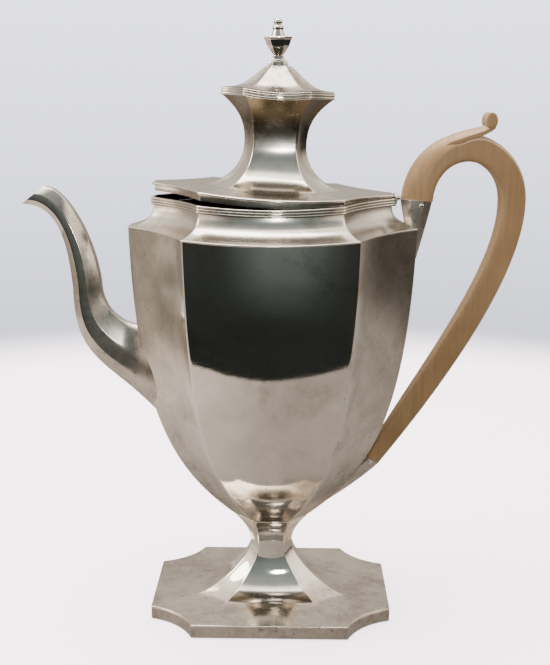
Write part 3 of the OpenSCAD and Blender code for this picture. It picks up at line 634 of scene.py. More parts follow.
def shoulder_plan():
    """The edge of the shoulder."""
    b = sizes("pot_body")
    return [b.width / 2, b.front / 2, b.depth / 2, b.end / 2, b.bow, b.dish]


def rim_plan():
    """The rim."""
    b = sizes("pot_body")
    return [b.rim_w / 2, 33.3, b.rim_d / 2, 6.7, 6.4, 2.9]


def spool_plan():
    """The spool's base."""
    d = sizes("pot_lid")
    return [d.spool_w / 2, 22.4, 26.4, 6.0, 3.4, 1.6]


def collar_plan():
    """The collar."""
    d = sizes("pot_lid")
    return [d.collar_w / 2, 15.75, 20.7, 5.4, 3.0, 1.3]


def small_plan(w, bow=0.3):
    """The plan of the cap's top and of the finial."""
    return [w / 2, w * 0.3, w * 0.4, w * 0.2, bow, 0.2]


def body_curve():
    """The end profile of the body, as half width and height."""
    b, f = sizes("pot_body"), sizes("pot_foot")
    low = f.joint_w / 2 + 0.6
    return [[low, b.bottom], [low + 32.6, b.bottom + 24.2], [b.width / 2 - 2.5, b.top - 92.5],
            [b.width / 2, b.top]]


def body_plan(w):
    """The plan of the body where its half width is w."""
    return plan_between(joint_plan(), shoulder_plan(), w, 1.12)


def spool_foot():
    """Height of the spool's base on the closed lid."""
    d = sizes("pot_lid")
    return d.bottom + d.lip + PLATE_RISE


def body_half(z):
    """Half width of the body's end at height z."""
    curve, low, high = body_curve(), 0.0, 1.0
    for _ in range(30):
        mid = (low + high) / 2
        low, high = (mid, high) if bezier(curve, mid)[1] < z else (low, mid)
    return bezier(curve, low)[0]


# Pieces

class FootOperator(bpy.types.Operator):
    """Adds the band round the foot and the flaring foot with its stem"""
    bl_idname = "coffee_pot.foot"
    bl_label = "Foot"

    def execute(self, context):
        f = sizes("pot_foot")
        plan, waist, joint = foot_plan(), waist_plan(), joint_plan()
        # the foot's plate laps over the band, and rises from its edge to the flare of half width flare_w
        top = f.band - 0.4
        edge_z, flare_z = f.band + 0.22, f.band + 0.75
        flare_w = 38
        sheet = 1.6
        band = [(0.5, 0.0), (0.15, 0.1), (0.0, 0.5), (0.0, 2.4), (0.0, top - 0.6), (0.08, top - 0.2),
                (0.25, top - 0.02), (1.4, top), (1.4, 0.0)]
        finish(loft("foot_band_moulding", stack(plan, band, 0.0), closed=True), "pot", ["foot_band"],
               silver("band_silver", 0.5, 0.2))

        flare = [[waist[0], f.waist_z], [waist[0], f.waist_z - 8.5], [27, f.band + 1.4], [flare_w, flare_z]]
        stem = [[waist[0], f.waist_z], [waist[0], f.waist_z + 5], [joint[0] - 4.2, f.joint_z - 4],
                [joint[0], f.joint_z]]

        def flared(w):
            """The flare's plan at half width w, whose front face widens sooner than it comes forward."""
            share = (w - waist[0]) / (plan[0] - waist[0])
            return [w, mix(waist, plan, share ** 1.06)[1]] + mix(waist, plan, share ** 1.5)[2:]

        rings = []
        for t in steps(14)[1:]:
            c, k = bezier(flare, t), inward(flare, t, -sheet)
            rings.append(ring(inset(flared(c[0]), c[0] - k[0]), k[1]))
        rings += stack(plan, [(2.7, f.band - 1), (1.5, f.band - 1), (1.5, top + SOLDER), (0.3, top + SOLDER),
                              (0.05, top + 0.07), (0.0, top + 0.22), (0.06, top + 0.4), (0.22, top + 0.53),
                              (0.55, top + 0.6), (1.0, edge_z)], 0.0)
        slope = [[edge_z], [edge_z + 0.03], [flare_z - 0.35], [flare_z]]
        for t in steps(10)[1:-1]:
            rings.append(ring(mix(inset(plan, 1.0), flared(flare_w), t), bezier(slope, t)[0]))
        for t in reversed(steps(44)):
            w, z = bezier(flare, t)
            rings.append(ring(flared(w), z))
        for t in steps(24)[1:]:
            w, z = bezier(stem, t)
            rings.append(ring(plan_between(waist, joint, w), z))
        finish(loft("flaring_foot", rings), "pot", ["pedestal"],
               silver("foot_silver", 0.08, 0.07, zone=(*FOOT_DULL, 0.35)))
        return {"FINISHED"}


class StemRingOperator(bpy.types.Operator):
    """Adds the thin ring between the stem and the body"""
    bl_idname = "coffee_pot.stem_ring"
    bl_label = "Stem ring"

    def execute(self, context):
        z = sizes("pot_foot").joint_z + SOLDER
        high, out = 0.8, 0.3
        bulge = [(t - out, up) for t, up in reed(0.02, high - 0.02, out, 6)]
        profile = [(0.0, 0.0), *bulge, (-0.1, high)]
        piece = loft("stem_joint_ring", stack(joint_plan(), profile, z))
        finish(piece, "pot", ["stem_ring"], silver())
        return {"FINISHED"}


class BodyOperator(bpy.types.Operator):
    """Adds the panelled body, hollow, with the strainer holes behind the spout"""
    bl_idname = "coffee_pot.body"
    bl_label = "Body"

    def execute(self, context):
        b, spout = sizes("pot_body"), sizes("pot_spout")
        curve, small, wide = body_curve(), joint_plan()[0], shoulder_plan()[0]

        def at(t, wall):
            (w, _), (inner, z) = bezier(curve, t), inward(curve, t, wall)
            dip = b.dip * (w - small) / (wide - small)
            return ring(inset(body_plan(w), w - inner), min(z, b.top), dip)

        rings = [at(t, 0.0) for t in steps(84)] + [at(t, b.wall) for t in reversed(steps(28))]
        piece = loft("panelled_body", rings)
        # two columns of five holes
        mid = (spout.low + spout.high) / 2
        radius, pitch, aside = 2, 6.4, 3.2
        for row in range(-2, 3):
            for y in (-aside, aside):
                up = mid + row * pitch
                ends = [[(-body_half(mid) + x, y + radius * math.cos(v), up + radius * math.sin(v))
                         for v in turns(24)] for x in (14, -20)]
                cut(piece, loft("strainer_drill", ends))
        # the film thickens low on the body: painted shade that darkens the underside where it mirrors the
        # foot
        finish(piece, "pot", ["body_shell"],
               silver("panel_silver", 0.0, 0.045, ends=0.85, zone=(0.085, 0.056, 0.7), strokes=0.12))
        return {"FINISHED"}


class ShoulderOperator(bpy.types.Operator):
    """Adds the hollow shoulder with its edge bead"""
    bl_idname = "coffee_pot.shoulder"
    bl_label = "Shoulder"

    def execute(self, context):
        b = sizes("pot_body")
        plan, neck = shoulder_plan(), inset(rim_plan(), 1.4)
        bead_h, bead_out = 0.9, 0.3
        curve = [[plan[0], b.top + bead_h], [plan[0] - 6.5, b.top + 2.5], [neck[0] + 0.5, b.rim_z - 7],
                 [neck[0], b.rim_z]]

        def at(t, wall):
            (w, _), (inner, z) = bezier(curve, t), inward(curve, t, wall)
            return ring(inset(plan_between(neck, plan, w), w - inner), min(z, b.rim_z), b.dip)

        bead = [(t - bead_out, up) for t, up in reed(SOLDER, bead_h, bead_out)]
        rings = stack(plan, bead, b.top, b.dip)
        rings += [at(t, 0.0) for t in steps(30)[1:]]
        rings += [at(t, b.wall) for t in reversed(steps(12)[2:])]
        rings += stack(plan, [(b.wall, SOLDER)], b.top, b.dip)
        finish(loft("hollow_shoulder", rings, closed=True), "pot", ["shoulder"],
               silver("shoulder_silver", 0.05, 0.2))
        return {"FINISHED"}


class RimOperator(bpy.types.Operator):
    """Adds the reeded rim, notched for the hinge"""
    bl_idname = "coffee_pot.rim"
    bl_label = "Rim"

    def execute(self, context):
        b = sizes("pot_body")
        wall = 1.5
        profile = [(1.0, SOLDER)]
        for low, high in ((0.06, 0.34), (0.36, 0.66), (0.68, 0.985)):
            profile += reed(b.rim_h * low, b.rim_h * high, 0.5)
        profile += [(0.8, b.rim_h), (wall - 0.2, b.rim_h), (wall, b.rim_h - 0.2), (wall, SOLDER)]
        piece = loft("reeded_rim", stack(rim_plan(), profile, b.rim_z, b.dip), closed=True)
        x = b.rim_w / 2 - RIM_NOTCH
        cut(piece, block("hinge_notch", (x, -NOTCH_HALF, b.rim_z - 1),
                         (x + 10, NOTCH_HALF, b.rim_z + b.rim_h + 1)))
        finish(piece, "pot", ["rim_moulding"], silver())
        return {"FINISHED"}


class SpoutOperator(bpy.types.Operator):
    """Adds the eight-sided spout, hollow to its mouth"""
    bl_idname = "coffee_pot.spout"
    bl_label = "Spout"

    def execute(self, context):
        p = sizes("pot_spout")
        # its lower and its upper edge run from the root to the throat and on to the tip and its back
        throat = [-p.reach + 30.4, p.tip_z - 40.7]
        throat_low = [throat[0] - 6.9, throat[1] - 0.9]
        throat_high = [throat[0] + 6.9, throat[1] + 0.9]
        tip = [-p.reach, p.tip_z]
        back = [tip[0] + 11.1, tip[1] + 8.4]
        root_low, root_high = [-body_half(p.low), p.low], [-body_half(p.high), p.high]
        low_root = [root_low, [root_low[0] - 28.3, root_low[1] + 28.3],
                    [throat_low[0], throat_low[1] - 34.5], throat_low]
        low_tip = [throat_low, [throat_low[0] - 2, throat_low[1] + 25], [tip[0] + 17, tip[1]], tip]
        high_root = [root_high, [root_high[0] - 11.5, root_high[1] + 1.5],
                     [throat_high[0] + 0.6, throat_high[1] - 10.6], throat_high]
        high_tip = [throat_high, [throat_high[0] - 1.6, throat_high[1] + 21.5],
                    [back[0] + 10.7, back[1] + 0.5], back]

        def section(a, b, half, wall, root=0.0):
            """A section of the outside, or of the inside where wall is given, rounder towards the root."""
            d = [(q - r) / math.dist(a, b) * wall for q, r in zip(b, a)]
            return limb_ring([a[0] + d[0], a[1] + d[1]], [b[0] - d[0], b[1] - d[1]], half - wall,
                             0.5 + 6.5 * root, SPOUT_SHAPE)

        def walls(wall):
            """Sections from a sunk one inside the body, through the spread at the root, to the mouth."""
            sunk = 6
            sections = [section([root_low[0] + sunk, root_low[1] - 1], [root_high[0] + sunk, root_high[1]],
                                p.root_w / 2 + 3.8, wall, 1.0)]
            for t in steps(40):
                spread = (p.root_w / 2 - 4.8) * max(1 - t / 0.26, 0) ** 2
                half = p.throat_w / 2 + 0.4 * (t - 1) + spread
                sections.append(section(bezier(low_root, t), bezier(high_root, t), half, wall,
                                        max(1 - t / 0.4, 0) ** 1.6))
            for t in steps(30)[1:]:
                half = (p.throat_w + (p.mouth_w - p.throat_w) * t) / 2
                sections.append(section(bezier(low_tip, t), bezier(high_tip, t), half, wall))
            return sections

        rings = walls(0.0) + list(reversed(walls(p.wall)))
        finish(loft("panelled_spout", rings, closed=True), "pot", ["spout"],
               silver("spout_silver", 0.35, 0.07, root=0.7))
        return {"FINISHED"}


def handle_curves():
    """The three curves of the handle's middle line, each as x and z."""
    h = sizes("pot_handle")
    start, crest = [h.start_x, h.start_z], [h.crest_x, h.crest_z]
    reach = [h.reach - 6.1, h.reach_z]
    stop = [body_half(h.stop_z) + 5.1, h.stop_z]
    return ([start, [start[0] + 0.8, start[1] + 12.5], [crest[0] - 13, crest[1] - 1.2], crest],
            [crest, [crest[0] + 11, crest[1] + 1], [reach[0] + 0.2, reach[1] + 18], reach],
            [reach, [reach[0] + 0.8, reach[1] - 35.3], [stop[0] + 25.8, stop[1] + 39.8], stop])


def grip_ring(centre, way, thick, half, crown, turn):
    """A section of the handle: a crowned outside of depth crown, flat sides and an eased inside.

    turn is how far the crown turns before it meets the side, in degrees."""
    nx, nz = way[1], -way[0]
    end = math.radians(turn)
    side = []
    for t in steps(8):
        v = end * t
        drop = (1 - math.cos(v)) / (1 - math.cos(end))
        side.append((-1 + 2 * crown * drop, math.sin(v) / math.sin(end)))
    low, flat = side[-1][0], 0.8
    side += [(low + 0.06, 1.0), (low + (flat - low) * 0.4, 1.0), (low + (flat - low) * 0.75, 1.0),
             (flat, 1.0), (0.91, 0.975), (0.97, 0.93), (1.0, 0.85), (1.0, 0.5)]
    loop = side + [(1.0, 0.0)] + [(u, -v) for u, v in reversed(side[1:])]
    return [(centre[0] + nx * thick / 2 * u, half * v, centre[1] + nz * thick / 2 * u) for u, v in loop]


class HandleOperator(bpy.types.Operator):
    """Adds the wooden handle and the leaf that curls up into its thumb scroll"""
    bl_idname = "coffee_pot.handle"
    bl_label = "Handle"

    def execute(self, context):
        h = sizes("pot_handle")
        rise, over, down = handle_curves()
        upper_w, lower_w = 13, 9.6
        upper_sunk, lower_sunk = 8, 5
        # a tenon goes down into the upper socket
        way = heading(rise, 0)
        foot = [rise[0][0] - way[0] * upper_sunk, rise[0][1] - way[1] * upper_sunk]
        rings = [grip_ring(foot, way, 8, 3.5, 0.3, 80), grip_ring(rise[0], way, 11.2, 4.9, 0.4, 80)]
        # the section grows flatter towards the crest
        for t in steps(30):
            rings.append(grip_ring(bezier(rise, t), heading(rise, t), 15 - 1.8 * t,
                                   (upper_w + (h.grip - upper_w) * t) / 2, 0.78 - 0.42 * t, 72 - 12 * t))
        for t in steps(34)[1:]:
            drop = max(1 - t / 0.3, 0.0) ** 2
            rings.append(grip_ring(bezier(over, t), heading(over, t), 13.2 - t, h.grip / 2,
                                   0.13 + 0.23 * drop, 58 + 2 * drop))
        # it thins, swells and narrows on its way down
        for t in steps(56)[1:]:
            thick = bezier([[12.2], [10.74], [14.76], [7.2]], t)[0]
            rings.append(grip_ring(bezier(down, t), heading(down, t), thick,
                                   (h.grip + (lower_w - h.grip) * t) / 2, 0.13, 58))
        # a second tenon goes into the lower socket
        way, end = heading(down, 1), down[3]
        rings.append(grip_ring(end, way, 4.8, 3.4, 0.3, 80))
        foot = [end[0] + way[0] * lower_sunk, end[1] + way[1] * lower_sunk]
        rings.append(grip_ring(foot, way, 3.8, 3.2, 0.3, 80))
        grip = loft("loop_handle", rings)

        # the leaf rises out of the crest, where its first third is hidden, and ends at the roll
        roll = [h.crest_x + 12.1, h.crest_z + 12.6]
        leaf = [[h.crest_x - 14, h.crest_z - 1.2], [h.crest_x - 6, h.crest_z + 6],
                [h.crest_x + 7.5, h.crest_z + 5.8], [roll[0] + 1.1, roll[1] - 2.2]]
        rings = []
        for t in steps(32):
            (x, z), way = bezier(leaf, t), heading(leaf, t)
            hide = max(1 - t / 0.35, 0.0)
            thick = 4.8 - 2.6 * hide - 4.4 * max(t - 0.6, 0.0)
            sink = 1.4 * hide ** 2
            rings.append(grip_ring([x + way[1] * sink, z - way[0] * sink], way, thick,
                                   h.grip / 2 - 0.2 - 2.6 * hide, 0.7 - 0.25 * t, 66))
        strip = loft("thumb_leaf", rings)
        # the roll's width and its place across the grip, as shares
        half, edge = 2.75, [(0.6, 1.0), (0.9, 6.98 / 7), (0.98, 6.85 / 7), (1.0, 6.6 / 7)]
        rings = []
        for scale, y in [(r, -v) for r, v in edge] + [(1.0, 0.0)] + edge[::-1]:
            rings.append([(roll[0] + half * scale * math.cos(v), y * h.grip / 2,
                           roll[1] + h.scroll / 2 * scale * math.sin(v)) for v in turns(48)])
        scroll = loft("thumb_roll", rings)
        handle = joined("carved_handle", [grip, strip, scroll])
        finish(handle, "pot", ["handle"], boxwood(), 30)
        # kept out of the silver's reflections, which stay grey beside it; a dark patch low on the right of
        # the room paints its shaded side there instead
        handle.visible_glossy = False
        return {"FINISHED"}


class SocketsOperator(bpy.types.Operator):
    """Adds the two silver sockets that hold the handle, and their pins"""
    bl_idname = "coffee_pot.sockets"
    bl_label = "Handle sockets"

    def execute(self, context):
        b = sizes("pot_body")
        rise, _, down = handle_curves()
        # each socket runs from its mouth, of that half depth, along the end panel to its tail
        (x, z), way = rise[0], heading(rise, 0)
        mouth = 7.5
        n = [way[1] * mouth, -way[0] * mouth]
        tail = [b.width / 2 + 0.4, b.top - 14.6]
        inner = [[x - n[0], z - n[1]], [x - 5.5, z - 10.7], [x - 3.5, z - 19],
                 [tail[0] - 2.6, tail[1] - 0.4]]
        outer = [[x + n[0], z + n[1]], [x + 6, z - 8.2], [x + 3.5, z - 18.2], tail]
        halves = [[6.5], [5.5], [4.0], [1.8]]
        rings = [limb_ring(bezier(outer, t), bezier(inner, t), bezier(halves, t)[0], 0.4) for t in steps(24)]
        metal = silver("socket_silver", 0.4, 0.38)
        finish(loft("upper_handle_socket", rings), "pot", ["upper_socket"], metal)
        pin = [x - way[0] * 2.6 + 2.2, 0.0, z - way[1] * 2.6]
        finish(rod("upper_handle_pin", pin, 1.3, 13.6), "pot", ["upper_pin"], silver())

        (x, z), way = down[3], heading(down, 1)
        mouth = 3.6
        n = [way[1] * mouth, -way[0] * mouth]
        tail_z = b.bottom + 2.4
        tail = [body_half(tail_z) + 0.8, tail_z]
        outer = [[x - n[0], z - n[1]], [x - 6, z - 11], [tail[0] + 13.4, tail[1] + 9.3], tail]
        inner = [[x + n[0], z + n[1]], [x - 12, z - 3.5], [tail[0] + 7, tail[1] + 16],
                 [tail[0] - 4, tail[1] + 4.4]]
        rings = [limb_ring(bezier(outer, t), bezier(inner, t), 4.8 - 2.4 * t, 0.35) for t in steps(26)]
        finish(loft("lower_handle_socket", rings), "pot", ["lower_socket"], metal)
        pin = [x + way[0] * 1.8 + way[1] * 0.5, 0.0, z + way[1] * 1.8 - way[0] * 0.5]
        finish(rod("lower_handle_pin", pin, 1.0, 10.2), "pot", ["lower_pin"], silver())
        return {"FINISHED"}


class HingeOperator(bpy.types.Operator):
    """Adds the lid's hinge: two fixed knuckles, the lid's knuckle between them and the pin"""
    bl_idname = "coffee_pot.hinge"
    bl_label = "Hinge"

    def execute(self, context):
        b, d = sizes("pot_body"), sizes("pot_lid")
        hx, _, hz = HINGE
        half = NOTCH_HALF - SOLDER
        radius, outer_long, lid_long = 1.6, 3.2, 5.0
        places = (-4.4, 4.4)
        x = b.rim_w / 2 - RIM_NOTCH + SOLDER
        shells = [block("hinge_seat", (x, -half, b.rim_z + SOLDER), (hx - 0.6, half, hz - 2.0))]
        for y in places:
            shells.append(block("hinge_leaf", (x, y - outer_long / 2, b.rim_z + 1),
                                (hx, y + outer_long / 2, b.rim_z + b.rim_h)))
        for shell in shells:
            modify(shell, "BEVEL", width=0.0002, segments=2)
        shells += [rod("knuckle", (hx, y, hz), radius, outer_long) for y in places]
        finish(joined("rim_hinge_knuckles", shells), "pot", ["rim_hinge"], silver())
        finish(rod("lid_hinge_pin", (hx, 0.0, hz), 0.6, 12.6), "pot", ["hinge_pin"], silver())

        x = hx - LID_NOTCH + SOLDER
        shells = [block("lid_tongue", (x, -y, d.bottom + 0.1), (end, y, d.bottom + d.lip), lifted)
                  for y, end in ((half, hx - 1.9), (lid_long / 2, hx))]
        for shell in shells:
            modify(shell, "BEVEL", width=0.00015, segments=2)
        shells.append(rod("knuckle", (hx, 0.0, hz), radius, lid_long, lifted))
        finish(joined("lid_hinge_knuckle", shells), "lid", ["lid_hinge"], silver())
        return {"FINISHED"}


class LidOperator(bpy.types.Operator):
    """Adds the lid's plate and the bezel under it"""
    bl_idname = "coffee_pot.lid"
    bl_label = "Lid plate"

    def execute(self, context):
        b, d = sizes("pot_body"), sizes("pot_lid")
        plan, hole = inset(rim_plan(), 0.6), inset(spool_plan(), 1.4)
        lip = [(1.6, 0.1)] + reed(0.0, d.lip, 0.7, 9)
        rings = stack(plan, lip, d.bottom, b.dip)
        inner = inset(plan, lip[-1][0])
        for t in steps(16)[1:]:
            rings.append(ring(mix(inner, spool_plan(), t), d.bottom + d.lip + PLATE_RISE * t * t, b.dip))
        rings += [ring(hole, z, b.dip) for z in (spool_foot(), d.bottom + 0.1)]
        piece = loft("lid_top_plate", [lifted(r) for r in rings], closed=True)
        x = HINGE[0] - LID_NOTCH
        cut(piece, block("hinge_notch", (x, -NOTCH_HALF, d.bottom - 1), (x + 10, NOTCH_HALF, d.bottom + 3),
                         lifted))
        finish(piece, "lid", ["lid_plate"], silver("plate_silver", 0.2, 0.14))

        bezel = [(2.2, -2.6), (1.95, -2.5), (1.9, -2.3), (1.9, 0.07), (3.0, 0.07), (3.0, -2.6)]
        rings = [lifted(r) for r in stack(rim_plan(), bezel, d.bottom, b.dip)]
        finish(loft("lid_under_bezel", rings, closed=True), "lid", ["lid_bezel"],
               silver("tarnished_silver", 0.3, 0.2))
        return {"FINISHED"}


class SpoolOperator(bpy.types.Operator):
    """Adds the waisted spool of the lid"""
    bl_idname = "coffee_pot.spool"
    bl_label = "Lid spool"

    def execute(self, context):
        b, d = sizes("pot_body"), sizes("pot_lid")
        low_z = spool_foot()
        high_z = low_z + d.spool_h
        narrow = [d.waist_w / 2, 10.0, 12.2, 3.0, 0.25, 0.4]
        waist = [d.waist_w / 2 + 0.5, low_z + d.waist_z]
        lower = [[d.spool_w / 2, low_z + SOLDER], [d.spool_w / 2 - 10, low_z + 0.5],
                 [d.waist_w / 2 + 0.2, low_z + d.waist_z / 2 - 0.8], waist]
        upper = [waist, [waist[0], high_z - 12.9], [d.waist_w / 2 + 3, high_z - 6.8],
                 [d.collar_w / 2 - 0.7, high_z]]

        def at(curve, wide, t, wall):
            c, k = bezier(curve, t), inward(curve, t, wall)
            plan = inset(plan_between(narrow, wide, c[0]), c[0] - k[0])
            return lifted(ring(plan, min(max(k[1], low_z + SOLDER), high_z), b.dip))

        rings = [at(lower, spool_plan(), t, 0.0) for t in steps(34)]
        rings += [at(upper, collar_plan(), t, 0.0) for t in steps(34)[1:]]
        rings += [at(upper, collar_plan(), t, LID_SHEET) for t in reversed(steps(12))]
        rings += [at(lower, spool_plan(), t, LID_SHEET) for t in reversed(steps(12)[1:-1])]
        finish(loft("lid_waisted_spool", rings, closed=True), "lid", ["lid_spool"],
               silver("spool_silver", 0.15, 0.17, zone=(0.234, 0.249, 1.5)))
        return {"FINISHED"}


class CapOperator(bpy.types.Operator):
    """Adds the reeded collar and the panelled cap above it"""
    bl_idname = "coffee_pot.cap"
    bl_label = "Lid collar and cap"

    def execute(self, context):
        b, d = sizes("pot_body"), sizes("pot_lid")
        z = spool_foot() + d.spool_h
        h, collar_wall = d.collar_h, 2.0
        profile = [(0.9, SOLDER)] + reed(0.05, h * 0.38, 0.5) + reed(h * 0.41, h * 0.74, 0.5)
        profile += [(t + 0.15, up) for t, up in reed(h * 0.76, h - 0.02, 0.4)]
        profile += [(1.0, h), (collar_wall, h), (collar_wall, SOLDER)]
        rings = [lifted(r) for r in stack(collar_plan(), profile, z, b.dip)]
        finish(loft("lid_reeded_collar", rings, closed=True), "lid", ["lid_collar"], silver())

        low, high = z + h, z + h + d.cap_h
        wide, top = collar_plan(), small_plan(d.cap_top)
        curve = [[wide[0] - 0.5, low + d.cap_edge], [wide[0] - 9.4, low + d.cap_edge],
                 [top[0] + 9.5, low + d.cap_h * 0.27], [top[0], high]]

        def at(t, wall):
            c, k = bezier(curve, t), inward(curve, t, wall)
            dip = b.dip * (c[0] - top[0]) / (wide[0] - top[0])
            plan = inset(plan_between(wide, top, c[0]), c[0] - k[0])
            return lifted(ring(plan, max(k[1], low + SOLDER), dip))

        rings = [at(t, LID_SHEET) for t in reversed(steps(12)[2:])]
        edge = [(collar_wall, SOLDER), (0.6, SOLDER), (0.5, 0.1)]
        rings += [lifted(r) for r in stack(wide, edge, low, b.dip)]
        rings += [at(t, 0.0) for t in steps(34)]
        finish(loft("lid_panelled_cap", rings), "lid", ["lid_cap"], silver("cap_silver", 0.8, 0.22))
        return {"FINISHED"}


class FinialOperator(bpy.types.Operator):
    """Adds the urn finial with its base and knop, and finishes the stud and nut that hold it"""
    bl_idname = "coffee_pot.finial"
    bl_label = "Finial"

    def execute(self, context):
        d = sizes("pot_lid")
        seat = z = spool_foot() + d.spool_h + d.collar_h + d.cap_h
        lean = context.scene.pot_lid.lean
        base_w, aside = 9.4, 0.45

        def leaning(points):
            """Points of the upright finial leant over on its seat, which is a little off the middle."""
            c, t = math.cos(lean), math.sin(lean)
            return lifted([(x * c - (up - seat) * t - aside, y, seat + (up - seat) * c + x * t)
                           for x, y, up in points])

        plan = small_plan(base_w)
        h = d.base_h
        profile = [(0.15, SOLDER), (0.0, 0.15), (0.0, h * 0.3), (0.1, h * 0.4), (0.5, h * 0.45),
                   (0.95, h * 0.5), (1.35, h * 0.58), (1.65, h * 0.7), (1.8, h * 0.85), (1.8, h)]
        rings = [leaning(r) for r in stack(plan, profile, z)]
        finish(loft("finial_foot", rings), "lid", ["finial_base"], silver())

        z += h
        plan = small_plan(d.urn_w, 0.5)
        rings = []
        # shares of the urn's width and height
        for k, up in ((0.32, 0.0), (0.35, 0.05), (0.42, 0.13), (0.53, 0.25), (0.64, 0.36), (0.72, 0.44),
                      (0.79, 0.55), (0.856, 0.667), (0.91, 0.78), (0.93, 0.84), (0.98, 0.88), (1.0, 0.92),
                      (1.0, 0.96), (0.96, 0.99), (0.88, 1.0)):
            rings.append(leaning(ring([v * k for v in plan], z + SOLDER + up * (d.urn_h - SOLDER))))
        finish(loft("finial_panelled_urn", rings), "lid", ["finial_urn"], silver())

        z += d.urn_h + SOLDER
        rings = []
        # shares of the knop's width and height
        for r, up in ((0.97, 0.0), (1.0, 0.02), (0.97, 0.07), (0.92, 0.12), (0.85, 0.19), (0.79, 0.25),
                      (0.73, 0.32), (0.71, 0.345), (0.75, 0.37), (0.8, 0.41), (0.82, 0.45), (0.82, 0.49),
                      (0.79, 0.53), (0.73, 0.57), (0.6, 0.61), (0.49, 0.63), (0.47, 0.65), (0.5, 0.68),
                      (0.58, 0.71), (0.63, 0.76), (0.64, 0.81), (0.61, 0.86), (0.54, 0.91), (0.43, 0.95),
                      (0.28, 0.98), (0.12, 0.995)):
            radius = r * d.knop_w / 2
            rings.append(leaning([(radius * math.cos(v), radius * math.sin(v), z + up * d.knop_h)
                                  for v in turns(48)]))
        finish(loft("finial_turned_knop", rings), "lid", ["finial_knop"], silver())

        metal = dull_silver()
        for name in ("finial_stud", "finial_nut"):
            node = frame["nodes"][name]
            node.data.materials.clear()
            node.data.materials.append(metal)
        return {"FINISHED"}


# Stage

# The room that the silver mirrors, as heights in degrees, colours and light
SIDE_ROOM = ((-30, "#E6D8C8", 1.25), (-12, "#E6D8C8", 1.1), (-5, "#E8DACA", 1.15), (0, "#EADCCB", 1.4),
             (6, "#EEE2D4", 1.8), (13, "#EEE4D8", 2.5), (35, "#F0E8DE", 3.0), (60, "#F0E8DE", 2.7),
             (85, "#F0E4D4", 2.7))
FRONT_ROOM = ((-24, "#D6E6E4", 0.04), (-15, "#D6E6E4", 0.055), (-6, "#D8E4E0", 0.09), (0, "#D8E2E0", 0.16),
              (8, "#D2E4E6", 0.28), (26, "#D2E4E6", 0.32), (36, "#E0E8E8", 0.50), (46, "#E6EAEA", 0.6),
              (54, "#EEEEEA", 0.8), (60, "#F4F0EA", 3.0), (66, "#F4F0EA", 6.0), (73, "#F4F0EA", 6.0),
              (80, "#F0E4D4", 1.8), (85, "#F0E4D4", 1.6))
FRONT_GLOW = "#D2E6E6"
# colour of the dark patch that paints the handle's shaded side into the silver's reflections
HANDLE_SHADE_COLOUR = (0.04, 0.038, 0.035)
# colour of the glowing sheet that the silver mirrors as a table
TABLE_GLOW = "#E4D9CF"

# Lamps, each with its place and width in metres, its power in watts and its colour, and where all point
LAMPS = (
    ("overhead_softbox", (-0.15, 0.10, 1.25), 0.9, 19.0, (1.0, 0.98, 0.95)),
    ("side_softbox", (-1.1, -0.15, 0.8), 0.7, 11.0, (1.0, 0.97, 0.93)),
    ("front_lamp", (0.03, -0.57, 0.25), 0.065, 0.5, (0.95, 1.0, 1.0)),
)
LAMP_TARGET = (0, 0, 0.12)

# Where the photograph was taken from, found from the pot's own edges: the place in metres, the turns about
# Z, X and Z in degrees, and the focal length and the picture's height in pixels
CAMERA_PLACE = (0.00927, -0.51925, 0.25983)
CAMERA_TURNS = (("Z", 0.876), ("X", 77.267), ("Z", 0.285))
FOCAL_PIXELS = 1066.9
PICTURE_PIXELS = 665
SENSOR_MM = 24.0


def disc(name, radius, y, z, material):
    """A round sheet of the stage, centred at y and z."""
    deselect()
    bpy.ops.mesh.primitive_circle_add(vertices=96, radius=radius, fill_type="NGON", location=(0, 0, 0))
    piece = bpy.context.object
    piece.name = piece.data.name = name
    bpy.ops.object.mode_set(mode="EDIT")
    bpy.ops.mesh.select_all(action="SELECT")
    bpy.ops.transform.translate(value=(0, y, z))
    bpy.ops.object.mode_set(mode="OBJECT")
    piece.data.materials.append(material)
    return piece


def matt_paper():
    """Matt white paper: evenly pale, and faded out into the backdrop half a metre behind the pot."""
    colours = bpy.context.scene.pot_finish
    material, tree = new_material("matt_white_paper")
    place = add(tree, "TexCoord", out="Object")
    # paper fibre of about 2 mm
    fibre = add(tree, "TexNoise", {"Vector": place, "Scale": 1 / 0.002, "Detail": 3.0})
    rough = add(tree, "MapRange", (fibre, 0.0, 1.0, 0.8, 1.0))
    paper = add(tree, "BsdfPrincipled", {
        "Base Color": rgba(colours.paper), "Roughness": rough, "Specular IOR Level": 0.1,
        "Emission Color": rgba(colours.paper), "Emission Strength": 2.7})
    far = add(tree, "VectorMath", (place,), "Value", operation="LENGTH")
    gone = add(tree, "MapRange", (far, 0.50, 0.70), interpolation_type="SMOOTHSTEP")
    clear = add(tree, "BsdfTransparent")
    fade = add(tree, "MixShader", (gone, paper, clear))
    add(tree, "OutputMaterial", (fade,))
    return material


def glowing_table_sheet():
    """A glowing sheet that only the silver mirrors, in place of a pale table: its painted light is cloudy,
    and brighter on the left as if a lamp stood there.
    """
    material, tree = new_material("mirrored_table")
    place = add(tree, "TexCoord", out="Object")
    # painted shading of folds of about 60 mm
    folds = add(tree, "TexNoise", {"Vector": place, "Scale": 1 / 0.06, "Detail": 3.0})
    across = add(tree, "SeparateXYZ", (place,), "X")
    # painted light: the sheet glows brighter on the left, as if a lamp stood on that side
    painted_left_light = add(tree, "MapRange", (across, -0.25, 0.02, 1.6, 0.7))
    cloth = add(tree, "MapRange", (folds, 0.0, 1.0, 0.8, 1.2))
    light = add(tree, "Math", (painted_left_light, cloth), operation="MULTIPLY")
    glow = add(tree, "Emission", {"Color": rgba(linear(TABLE_GLOW)), "Strength": light})
    add(tree, "OutputMaterial", (glow,))
    return material


